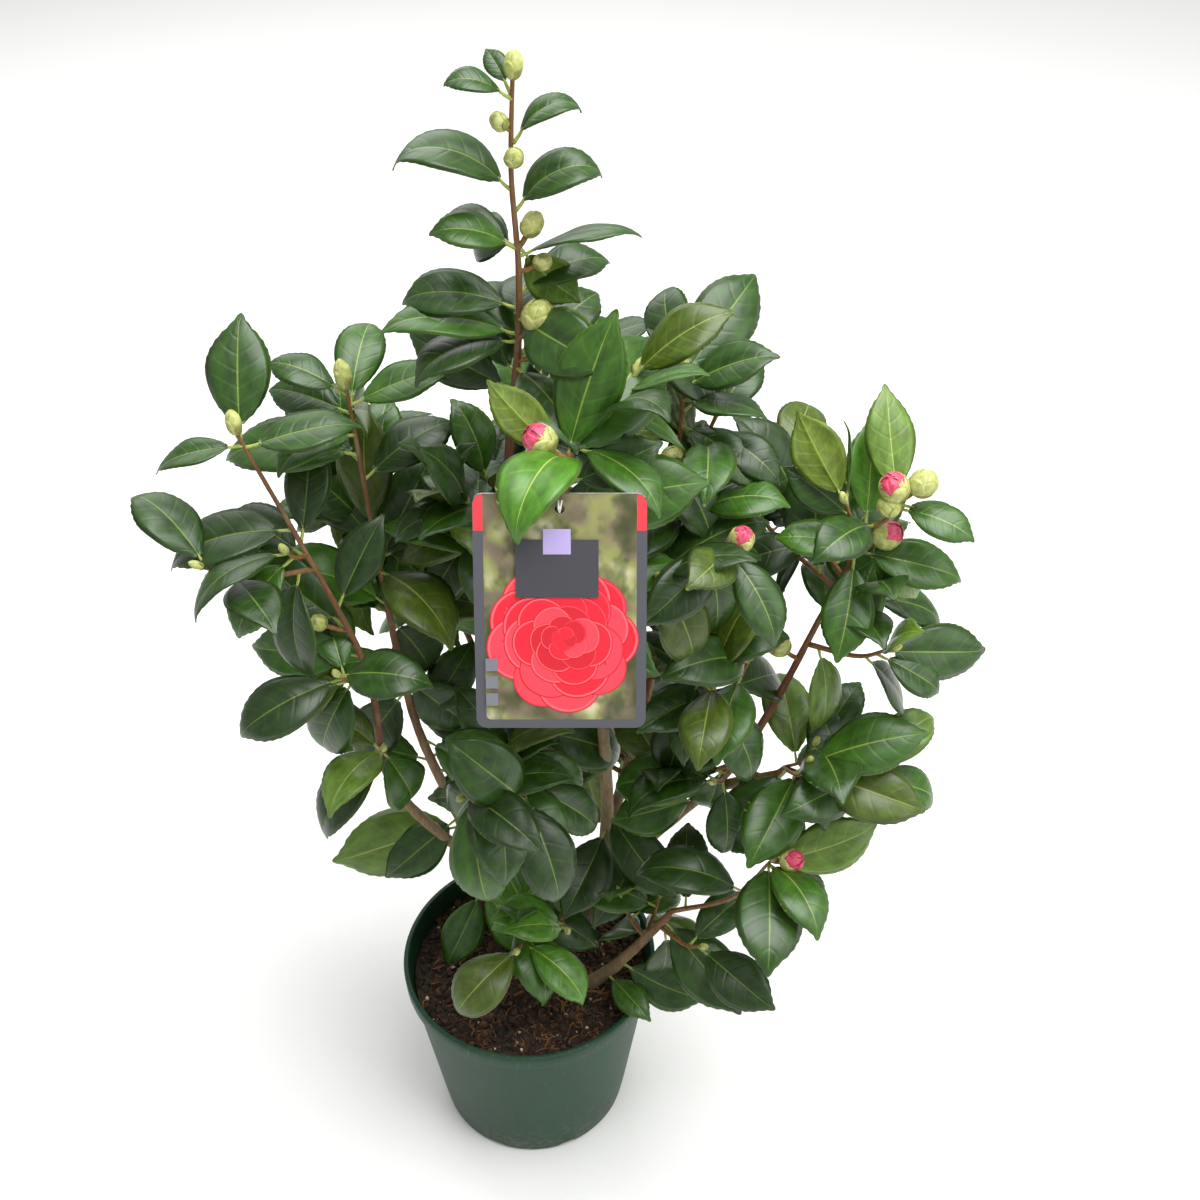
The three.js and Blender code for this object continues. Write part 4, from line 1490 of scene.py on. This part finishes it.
def soil_height(level, x, y):
    """Level of the compost at a place: raised a little at the stems, hollowed round them, rough all over."""
    out = math.hypot(x, y)
    dish = -3.0 * MM * smoothstep(0.03, 0.065, out) + 1.0 * MM * smoothstep(0.07, 0.088, out)
    (lump_depth, lumps), (grain_depth, grains) = BED_LUMPS, BED_GRAINS
    rough = lump_depth * noise.noise(Vector((x * lumps, y * lumps, 3.0)))
    rough += grain_depth * noise.noise(Vector((x * grains, y * grains, 8.0)))
    return level - 0.8 * MM + dish + rough


def lump(rng, place, size):
    """A crumb: an uneven ball of a few faces, with a turn of its own."""
    points, faces = [], []
    stretch = Vector((rng.uniform(0.7, 1.35), rng.uniform(0.7, 1.35), rng.uniform(0.55, 1.0))) * size
    turn = Quaternion(Vector([rng.uniform(-1, 1) for _ in range(3)]).normalized(), rng.uniform(0, 6.28))
    sides = CRUMB_SIDES
    rows = ((0.0, 1), (0.87, sides), (0.87, sides), (0.0, 1))
    heights = (-1.0, -0.45, 0.45, 1.0)
    for (ring, count), height in zip(rows, heights):
        for k in range(count):
            a = 2 * math.pi * (k + (0.5 if height > 0 else 0)) / count
            corner = Vector((ring * math.cos(a), ring * math.sin(a), height)) * rng.uniform(0.8, 1.15)
            corner = Vector([c * s for c, s in zip(corner, stretch)])
            points.append(place + turn @ corner)
    low, high, top = 1, 1 + sides, 1 + 2 * sides
    for k in range(sides):
        n = (k + 1) % sides
        faces += [(0, low + n, low + k), (low + k, low + n, high + k)]
        faces += [(low + n, high + n, high + k), (high + k, high + n, top)]
    return points, faces


def compost_bed(level, edge):
    """The compost's body: its rough surface, and a plain underside inside the pot."""
    rings, segments = BED_RINGS, BED_SEGMENTS
    vertices, faces = [Vector((0, 0, soil_height(level, 0, 0)))], []
    for i in range(1, rings + 1):
        for k in range(segments):
            turn = 2 * math.pi * k / segments
            r = edge * i / rings
            x, y = r * math.cos(turn), r * math.sin(turn)
            vertices.append(Vector((x, y, soil_height(level, x, y))))
    last, below = len(vertices) - segments, len(vertices)
    vertices += [Vector((v.x * 0.97, v.y * 0.97, level - BED_DEPTH)) for v in vertices[last:]]
    for k in range(segments):
        n = (k + 1) % segments
        faces.append((0, 1 + k, 1 + n))
        for i in range(rings - 1):
            a, b = 1 + i * segments, 1 + (i + 1) * segments
            faces.append((a + k, b + k, b + n, a + n))
    for k in range(segments):
        n = (k + 1) % segments
        faces.append((last + k, below + k, below + n, last + n))
    faces.append(tuple(below + k for k in reversed(range(segments))))
    return vertices, faces


def random_spot(rng, reach):
    """A place on the compost, anywhere within reach of the pot's axis."""
    r, turn = reach * math.sqrt(rng.random()), rng.uniform(0, 2 * math.pi)
    return r * math.cos(turn), r * math.sin(turn)


def scatter_crumbs(draft, rng, count, level, edge):
    """Loose crumbs of peat, chips of bark and grit, half sunk in the surface."""
    for _ in range(count):
        x, y = random_spot(rng, edge - 2 * MM)
        size = rng.choice(CRUMB_SIZES) * MM
        place = Vector((x, y, soil_height(level, x, y) + size * 0.25))
        kind = rng.choices((PEAT, BARK, GRIT), CRUMB_SHARES)[0]
        points, faces = lump(rng, place, size * (0.6 if kind == GRIT else 1.0))
        draft.add(points, faces, kind)


def scatter_fibres(draft, rng, count, level, edge):
    """Loose bent fibres that lie on the surface, clear of the pot's wall."""
    spans = len(FIBRE_TAPER) - 1
    for _ in range(count):
        x, y = random_spot(rng, edge - 8 * MM)
        heading, bend = rng.uniform(0, 2 * math.pi), rng.uniform(-0.5, 0.5)
        length = rng.uniform(6, 18) * MM
        points = []
        for i in range(spans + 1):
            rise = (1.0 + 0.8 * math.sin(i * 1.3)) * MM
            points.append(Vector((x, y, soil_height(level, x, y) + rise)))
            x += math.cos(heading) * length / spans
            y += math.sin(heading) * length / spans
            heading += bend
        if math.hypot(x, y) > edge - 2 * MM:
            continue
        thick = rng.uniform(0.3, 0.7) * MM
        vertices, faces = tube_rings(points, [thick * share for share in FIBRE_TAPER], 5)
        draft.add(vertices, faces, FIBRE)


def soil_object(settings):
    """The compost, with what lies loose on it."""
    low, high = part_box("soil")
    level = high.z
    edge = (high.x - low.x) / 2 - 0.3 * MM
    draft = MeshDraft()
    draft.add(*compost_bed(level, edge), PEAT)
    rng = random.Random(settings.seed)
    scatter_crumbs(draft, rng, settings.crumbs, level, edge)
    scatter_fibres(draft, rng, settings.fibres, level, edge)
    materials = [
        compost_material("Peat compost, damp and crumbled", "#17110c", "#4a3626"),
        compost_material("Composted bark, chopped", "#3a2718", "#6e4c30"),
        compost_material("Grit, washed", "#a59c86", "#d8d2c2", 0.7),
        compost_material("Coir fibre, shredded", "#6b4024", "#9a6b40", 0.8),
    ]
    piece = draft.piece("compost", materials, sharp=50)
    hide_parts("soil")
    return piece


# ---------------------------------------------------------------- picture card and tie


def rounded(width, height, corner, steps=5):
    """Corners of a rounded rectangle about the origin, in turn anticlockwise."""
    points = []
    for k, (sx, sy) in enumerate(((1, 1), (-1, 1), (-1, -1), (1, -1))):
        cx, cy = sx * (width / 2 - corner), sy * (height / 2 - corner)
        for i in range(steps + 1):
            a = math.radians(90 * k + 90 * i / steps)
            points.append((cx + corner * math.cos(a), cy + corner * math.sin(a)))
    return points


def add_flat(draft, card, outline, level, slot, thick=0.12 * MM):
    """A flat shape on the card's face: its front, and a rim down to the sheet below."""
    count = len(outline)
    bow = [(x, y, card.bow(y)) for x, y in outline]
    front = [card.to_world(x, y, z + level) for x, y, z in bow]
    back = [card.to_world(x, y, z + level - thick) for x, y, z in bow]
    faces = [tuple(range(count)), tuple(reversed(range(count, 2 * count)))]
    faces += [(i, i + count, (i + 1) % count + count, (i + 1) % count) for i in range(count)]
    draft.add(front + back, faces, slot)


def add_flat_grid(draft, card, outline, level, slot):
    """A large flat shape on the card's face, in strips across it that follow the card's bow."""
    strip, touch, flat = 5 * MM, 1e-7, 1e-9
    corner_levels = sorted({round(y, 7) for _, y in outline})
    strips = []
    for low, high in zip(corner_levels, corner_levels[1:]):
        cuts = max(1, int((high - low) / strip))
        strips += [mix(low, high, i / cuts) for i in range(cuts)]
    strips.append(corner_levels[-1])
    vertices = []
    for y in strips:
        reach = 0.0
        for (ax, ay), (bx, by) in zip(outline, outline[1:] + outline[:1]):
            if min(ay, by) - touch <= y <= max(ay, by) + touch:
                t = 0.0 if abs(by - ay) < flat else min(1.0, max(0.0, (y - ay) / (by - ay)))
                reach = max(reach, abs(mix(ax, bx, t)))
        for x in (-reach, reach):
            vertices.append(card.to_world(x, y, card.bow(y) + level))
    faces = [(2 * i, 2 * i + 1, 2 * i + 3, 2 * i + 2) for i in range(len(strips) - 1)]
    draft.add(vertices, faces, slot)


CARD_THICK = 0.9 * MM
CARD_CORNER = 5 * MM
CARD_BORDER = 5.2 * MM
# The hole for the tie: how far it lies under the card's upper edge, and its radius.
HOLE_DROP = 8 * MM
HOLE_RADIUS = 2.6 * MM
HOLE_SIDES = 20
# Printed sheets lie this far over each other.
SHEET_STEP = 0.06 * MM
PETAL_STEP = 0.01 * MM
CARD_ROWS = 24
CARD_CELLS = 8
# The flower's rings from the outside in: how far its petals reach and how broad they are, in shares of
# the flower's radius, with their number between the two.
FLOWER_RINGS = (
    (1.0, 9, 0.86),
    (0.84, 8, 0.78),
    (0.66, 7, 0.66),
    (0.48, 6, 0.5),
    (0.31, 5, 0.34),
    (0.17, 4, 0.2),
)
FLOWER_PLACE = (2 * MM, -13 * MM)
FLOWER_RADIUS = 40 * MM
FLOWER_SEED = 41
# Plain panels over the picture, as middle and size.
PANEL_PLACE = (-1.5 * MM, 24 * MM, 42 * MM, 30 * MM)
LILAC_PLACE = (-1.5 * MM, 38 * MM, 14 * MM, 13 * MM)
SMALL_SQUARES = 3
SMALL_SQUARE_SIZE = (6.2 * MM, 6.8 * MM)
CARD_INKS = {
    "Coated card, white core": "#e9e8e4",
    "Coated card, printed slate grey": "#55555c",
    "Coated card, printed coral red": "#f0404c",
    "Coated card, printed garden": None,
    "Coated card, printed charcoal panel": "#45454b",
    "Coated card, printed lilac": "#b9a9dd",
    "Coated card, printed silver grey": "#7d7d86",
    "Coated card, printed flower, shaded": "#d51f31",
    "Coated card, printed flower, red": "#ee2438",
    "Coated card, printed flower, bright": "#fb4656",
    "Coated card, printed flower, pink": "#ff6671",
}
CORE, SLATE, CORAL, GARDEN, PANEL, LILAC, SILVER, SHADED, RED, BRIGHT, PINK = range(11)


def petal_outline(x, y, turn, length, width):
    """A broad petal whose foot stands at a place and whose rounded end points along a turn."""
    steps, shoulder = 16, 0.42
    points = []
    for i in range(steps + 1):
        a = math.pi * (i / steps - 0.5)
        u = length * (shoulder + (1 - shoulder) * max(0.0, math.cos(a)) ** 0.7)
        v = width / 2 * math.sin(a)
        points.append((u if i not in (0, steps) else length * shoulder, v))
    points.append((0.0, width * 0.16))
    points.append((0.0, -width * 0.16))
    c, s = math.cos(turn), math.sin(turn)
    return [(x + u * c - v * s, y + u * s + v * c) for u, v in points]


def add_flower(draft, card, x, y, radius, level):
    """A printed double flower: rings of petals, each a shaded and a pale edge under a redder middle."""
    rng = random.Random(FLOWER_SEED)
    rise = level
    for row, (reach, count, breadth) in enumerate(FLOWER_RINGS):
        for k in range(count):
            turn = 2 * math.pi * (k + 0.37 * row) / count + rng.uniform(-0.12, 0.12)
            long = radius * reach * rng.uniform(0.93, 1.03)
            wide = radius * breadth * rng.uniform(0.92, 1.06)
            rim = rng.choice((PINK, PINK, BRIGHT))
            body = rng.choice((BRIGHT, RED, RED)) if row < 3 else rng.choice((RED, BRIGHT, SHADED))
            for length_share, width_share, ink in ((1, 1, SHADED), (0.985, 0.97, rim), (0.955, 0.92, body)):
                petal = petal_outline(x, y, turn, long * length_share, wide * width_share)
                add_flat(draft, card, petal, rise, ink)
                rise += PETAL_STEP
    return rise


def square(x, y, wide, high):
    """Corners of a rectangle about a place, in turn anticlockwise."""
    return [(x + sx * wide / 2, y + sy * high / 2) for sx, sy in ((1, 1), (-1, 1), (-1, -1), (1, -1))]


def card_sheet(card):
    """The card itself: a thin bowed sheet with rounded corners, slate in front and grey behind."""
    wide, high = card.width, card.height
    straight_wide, straight_high = wide / 2 - CARD_CORNER, high / 2 - CARD_CORNER
    cells, row = CARD_CELLS, CARD_CELLS + 1
    front, back = [], []
    for i in range(CARD_ROWS + 1):
        y = high / 2 * math.sin(math.pi / 2 * (2 * i / CARD_ROWS - 1))
        over = max(0.0, abs(y) - straight_high)
        half = straight_wide + math.sqrt(max(0.0, CARD_CORNER ** 2 - over ** 2))
        for j in range(row):
            x = half * (2 * j / cells - 1)
            front.append(card.to_world(x, y, card.bow(y)))
            back.append(card.to_world(x, y, card.bow(y) - CARD_THICK))
    count = len(front)
    faces, slots = [], []
    for i in range(CARD_ROWS):
        for j in range(cells):
            a, b = i * row + j, (i + 1) * row + j
            faces += [(a, a + 1, b + 1, b), (count + a + 1, count + a, count + b, count + b + 1)]
            slots += [SLATE, SILVER]
    rim = list(range(row)) + [i * row + cells for i in range(1, CARD_ROWS + 1)]
    rim += [CARD_ROWS * row + j for j in range(cells - 1, -1, -1)]
    rim += [i * row for i in range(CARD_ROWS - 1, 0, -1)]
    for a, b in zip(rim, rim[1:] + rim[:1]):
        faces.append((a, count + a, count + b, b))
        slots.append(CORE)
    return front + back, faces, slots


def corner_bar(card, side):
    """The coral bar down the upper corner at one side."""
    half, top = card.width / 2, card.height / 2
    edge, border = side * half * 0.992, side * (half - CARD_BORDER)
    bar = [(edge, top - 19 * MM), (border, top - 19 * MM), (border, top - 0.6 * MM)]
    bar += [(side * (half - 4 * MM), top - 0.6 * MM), (side * (half - 1.7 * MM), top - 1.8 * MM)]
    bar += [(edge, top - 5 * MM)]
    return bar if side < 0 else list(reversed(bar))


def tie_hole(card):
    """The closed shape that punches the hole for the tie."""
    punch = MeshDraft()
    turns = [2 * math.pi * k / HOLE_SIDES for k in range(HOLE_SIDES)]
    middle = card.height / 2 - HOLE_DROP
    ring = [(HOLE_RADIUS * math.cos(a), middle + HOLE_RADIUS * math.sin(a)) for a in turns]
    ends = [card.to_world(x, y, z) for z in (-6 * MM, 6 * MM) for x, y in ring]
    punch.add(ends, prism_faces(HOLE_SIDES))
    return punch


def card_object():
    """The picture card: the sheet, what is printed on it, and the hole."""
    card = shrub().card
    draft = MeshDraft()
    draft.add(*card_sheet(card))
    picture = rounded(card.width - 2 * CARD_BORDER, card.height - CARD_BORDER, 2.5 * MM)
    picture = [(x, y + CARD_BORDER / 2 - 0.4 * MM) for x, y in picture]
    add_flat_grid(draft, card, picture, SHEET_STEP, GARDEN)
    for side in (-1, 1):
        add_flat(draft, card, corner_bar(card, side), SHEET_STEP * 1.5, CORAL)
    top = add_flower(draft, card, *FLOWER_PLACE, FLOWER_RADIUS, SHEET_STEP * 2)
    add_flat(draft, card, square(*PANEL_PLACE), top + SHEET_STEP, PANEL)
    add_flat(draft, card, square(*LILAC_PLACE), top + 2 * SHEET_STEP, LILAC)
    for k in range(SMALL_SQUARES):
        small = square(-card.width / 2 + 8.5 * MM, (-27 - 9.5 * k) * MM, *SMALL_SQUARE_SIZE)
        add_flat(draft, card, small, top + SHEET_STEP, SILVER)
    materials = []
    for name, ink in CARD_INKS.items():
        materials.append(picture_material() if ink is None else print_material(name, ink))
    piece = draft.piece("picture_card", materials, sharp=30)
    cut_away(piece, tie_hole(card))
    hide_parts("label")
    return piece


TIE_RADIUS = 0.55 * MM
TIE_STEPS = 28


def tie_object():
    """The card's tie: two thin white strands that cross on their way from the hole back to the stem."""
    _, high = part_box("label_tie")
    card = shrub().card
    hole = card.to_world(0, card.height / 2 - HOLE_DROP, 0)
    stem, _, radius = limb_at(limb("centre_stem"), high.z - 8 * MM)
    draft = MeshDraft()
    top = high.z - 1.2 * MM
    for strand in (-1, 1):
        corners = [
            hole + card.out * 1.4 * MM - UP * 1.5 * MM,
            hole + card.out * 2.0 * MM + UP * 2.5 * MM + Vector((strand * 0.6 * MM, 0, 0)),
            Vector((mix(hole.x, stem.x, 0.3) + strand * 1.1 * MM, mix(hole.y, stem.y, 0.3), top - 1 * MM)),
            Vector((mix(hole.x, stem.x, 0.7) - strand * 1.1 * MM, mix(hole.y, stem.y, 0.7), top)),
            stem + Vector((strand * radius * 0.8, -radius, 0)),
        ]
        points = curve_points(corners, TIE_STEPS)
        vertices, faces = tube_rings(points, [TIE_RADIUS] * TIE_STEPS, 8)
        draft.add(vertices, faces)
    vinyl = shoot_material("Vinyl cord, extruded, white", "#dcdcd6", "#f0f0ea", 0.4)
    piece = draft.piece("card_tie", [vinyl])
    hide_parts("label_tie")
    return piece


# ---------------------------------------------------------------- settings


class CamelliaFoliageSettings(PropertyGroup):
    """How the leaves look."""

    gloss: FloatProperty(
        name="Gloss", description="Roughness of the waxed upper skin of a leaf",
        default=0.36, min=0.1, max=0.9, subtype="FACTOR",
    )


class CamelliaPotSettings(PropertyGroup):
    """How the pot looks."""

    colour: FloatVectorProperty(
        name="Colour", description="Colour of the moulded plastic",
        default=linear("#10341f")[:3], min=0, max=1, subtype="COLOR", size=3,
    )
    roughness: FloatProperty(
        name="Roughness", description="Roughness of the moulded plastic",
        default=0.45, min=0.1, max=0.9, subtype="FACTOR",
    )


class CamelliaCompostSettings(PropertyGroup):
    """What lies in the pot."""

    seed: IntProperty(name="Seed", description="Seed of the crumbs' random places", default=17, min=0)
    crumbs: IntProperty(name="Crumbs", description="Number of loose crumbs and chips", default=2600, min=0)
    fibres: IntProperty(name="Fibres", description="Number of loose fibres", default=240, min=0)


class CamelliaStageSettings(PropertyGroup):
    """The floor and the light."""

    floor_colour: FloatVectorProperty(
        name="Floor colour", description="Colour of the paper sweep",
        default=linear("#f4f4f2")[:3], min=0, max=1, subtype="COLOR", size=3,
    )
    key_power: FloatProperty(
        name="Key light", description="Power of the large soft light overhead, in watts",
        default=92.0, min=0.0, unit="POWER",
    )
    fill_power: FloatProperty(
        name="Fill light", description="Power of the soft lights at the right and behind, in watts",
        default=18.0, min=0.0, unit="POWER",
    )
    sky: FloatProperty(name="Sky", description="Strength of the even white surround", default=0.5, min=0.0)


SETTINGS = {
    "camellia_foliage": CamelliaFoliageSettings,
    "camellia_pot": CamelliaPotSettings,
    "camellia_compost": CamelliaCompostSettings,
    "camellia_stage": CamelliaStageSettings,
}


# ---------------------------------------------------------------- operators


class CAMELLIA_OT_limbs(Operator):
    """Grow the trunk and boughs, with their bark"""

    bl_idname = "camellia.limbs"
    bl_label = "Trunk and Boughs"

    def execute(self, context):
        bark = bark_material()
        for name in LIMB_NAMES:
            piece = limb_draft(limb(name)).piece(name + "_bark", [bark], sharp=60)
            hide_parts(name)
        return {"FINISHED"}


class CAMELLIA_OT_twigs(Operator):
    """Grow the young shoots and the leaf stalks"""

    bl_idname = "camellia.twigs"
    bl_label = "Shoots and Leaf Stalks"

    def execute(self, context):
        draft = MeshDraft()
        for twig in shrub().twigs:
            vertices, faces = tube_rings(twig.points, twig.radii, 10)
            draft.add(vertices, faces, 0)
        for leaf in shrub().leaves:
            add_petiole(draft, leaf)
        materials = [
            shoot_material("Young camellia shoot, smooth, red-brown", "#6f4426", "#8f6a35", 0.5),
            shoot_material("Camellia leaf stalk, smooth, yellow-green", "#8a9a45", "#a9b55c", 0.45),
        ]
        draft.piece("shoots", materials)
        return {"FINISHED"}


# The masses whose leaves each piece holds, by the first word of their names.
FOLIAGE_PIECES = {
    "foliage_left": ("top", "leader", "left"),
    "foliage_centre": ("upper", "centre", "front", "foot"),
    "foliage_right": ("right", "inner", "lower", "low"),
    "foliage_back": ("back",),
}


class CAMELLIA_OT_foliage(Operator):
    """Grow the leaves in sprays, in place of the masses of foliage"""

    bl_idname = "camellia.foliage"
    bl_label = "Leaves"

    def execute(self, context):
        gloss = context.scene.camellia_foliage.gloss
        materials = [leaf_material(tint, gloss) for tint in [*TOP_TINTS, *UNDER_TINTS]]
        for piece_name, first_words in FOLIAGE_PIECES.items():
            masses = [name for name in SPRAYS if name.split("_")[1] in first_words]
            draft = MeshDraft()
            for leaf in shrub().leaves:
                if leaf.mass in masses:
                    add_leaf(draft, leaf)
            piece = draft.piece(piece_name, materials)
            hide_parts(*masses)
        return {"FINISHED"}


class CAMELLIA_OT_buds(Operator):
    """Grow the flower buds and the shoots' own tip buds"""

    bl_idname = "camellia.buds"
    bl_label = "Buds"

    def execute(self, context):
        draft = MeshDraft()
        for bud in shrub().buds:
            add_bud(draft, bud)
        materials = [
            shoot_material("Bud scale, outer, dry-edged", "#6d7230", "#979650", 0.5),
            shoot_material("Bud scale, inner, downy", "#98a14a", "#c6c783", 0.46),
            shoot_material("Camellia petal, satin", "#c02748", "#e06280", 0.42),
        ]
        draft.piece("buds", materials)
        return {"FINISHED"}


class CAMELLIA_OT_pot(Operator):
    """Make the pot"""

    bl_idname = "camellia.pot"
    bl_label = "Pot"

    def execute(self, context):
        pot_object(context.scene.camellia_pot)
        return {"FINISHED"}


class CAMELLIA_OT_compost(Operator):
    """Fill the pot with compost"""

    bl_idname = "camellia.compost"
    bl_label = "Compost"

    def execute(self, context):
        soil_object(context.scene.camellia_compost)
        return {"FINISHED"}


class CAMELLIA_OT_card(Operator):
    """Make the picture card"""

    bl_idname = "camellia.card"
    bl_label = "Picture Card"

    def execute(self, context):
        card_object()
        return {"FINISHED"}


class CAMELLIA_OT_tie(Operator):
    """Make the card's tie"""

    bl_idname = "camellia.tie"
    bl_label = "Card Tie"

    def execute(self, context):
        tie_object()
        return {"FINISHED"}


FLOOR_REACH = 40
LIGHT_PLACES = {"key": (0.5, -0.1, 2.7), "side": (2.1, -1.0, 1.5), "back": (-0.6, 1.9, 1.9)}
KEY_SIZE, FILL_SIZE = 2.0, 1.6
# The camera stands over the front, and looks down by 40 degrees.
CAMERA_PLACE = (0.0532, -0.7334, 1.1198)
CAMERA_TURN = (math.radians(50), 0, 0)
CAMERA_LENS, CAMERA_SENSOR = 46.89, 36


class CAMELLIA_OT_stage(Operator):
    """Lay the floor, set the light and the camera"""

    bl_idname = "camellia.stage"
    bl_label = "Floor, Light and Camera"

    def execute(self, context):
        settings = context.scene.camellia_stage
        scene = context.scene
        corners = [(x * FLOOR_REACH, y * FLOOR_REACH, 0) for x, y in ((-1, -1), (1, -1), (1, 1), (-1, 1))]
        mesh = bpy.data.meshes.new("paper_sweep")
        mesh.from_pydata(corners, [], [(0, 1, 2, 3)])
        mesh.materials.append(floor_material(settings.floor_colour))
        floor = bpy.data.objects.new("paper_sweep", mesh)
        scene.collection.objects.link(floor)
        aim = (CAD_BOX[0] + CAD_BOX[1]) / 2
        for name, place in LIGHT_PLACES.items():
            light = bpy.data.lights.new(name, "AREA")
            light.energy = settings.key_power if name == "key" else settings.fill_power
            light.size = KEY_SIZE if name == "key" else FILL_SIZE
            lamp = bpy.data.objects.new(name, light)
            lamp.location = place
            lamp.rotation_euler = (Vector(place) - aim).to_track_quat("Z", "Y").to_euler()
            scene.collection.objects.link(lamp)
        world = bpy.data.worlds.new("white surround")
        world.use_nodes = True
        background = world.node_tree.nodes["Background"]
        background.inputs["Color"].default_value = (1, 1, 1, 1)
        background.inputs["Strength"].default_value = settings.sky
        scene.world = world
        scene.view_settings.view_transform = "Standard"
        camera = bpy.data.cameras.new("camera")
        camera.lens = CAMERA_LENS
        camera.sensor_width = CAMERA_SENSOR
        eye = bpy.data.objects.new("camera", camera)
        eye.location = CAMERA_PLACE
        eye.rotation_euler = CAMERA_TURN
        scene.collection.objects.link(eye)
        scene.camera = eye
        return {"FINISHED"}


OPERATORS = (
    CAMELLIA_OT_limbs,
    CAMELLIA_OT_twigs,
    CAMELLIA_OT_foliage,
    CAMELLIA_OT_buds,
    CAMELLIA_OT_pot,
    CAMELLIA_OT_compost,
    CAMELLIA_OT_card,
    CAMELLIA_OT_tie,
    CAMELLIA_OT_stage,
)


class CAMELLIA_PT_panel(Panel):
    """Builds the plant, one step at a time"""

    bl_label = "Potted Camellia"
    bl_space_type = "VIEW_3D"
    bl_region_type = "UI"
    bl_category = "Camellia"

    def draw(self, context):
        for operator in OPERATORS:
            self.layout.operator(operator.bl_idname)
        for key, group in SETTINGS.items():
            box = self.layout.box()
            for name in group.__annotations__:
                box.prop(getattr(context.scene, key), name)


def register():
    """Registers the settings, the operators and the panel."""
    for group in SETTINGS.values():
        bpy.utils.register_class(group)
    for cls in (*OPERATORS, CAMELLIA_PT_panel):
        bpy.utils.register_class(cls)
    for key, group in SETTINGS.items():
        setattr(bpy.types.Scene, key, PointerProperty(type=group))


def unregister():
    """Takes back what register did, in reverse."""
    for key in SETTINGS:
        delattr(bpy.types.Scene, key)
    for cls in (CAMELLIA_PT_panel, *reversed(OPERATORS)):
        bpy.utils.unregister_class(cls)
    for group in reversed(SETTINGS.values()):
        bpy.utils.unregister_class(group)


def main():
    """Builds every piece and the stage."""
    register()
    for operator in OPERATORS:
        group, name = operator.bl_idname.split(".")
        getattr(getattr(bpy.ops, group), name)()


if __name__ == "__main__":
    main()
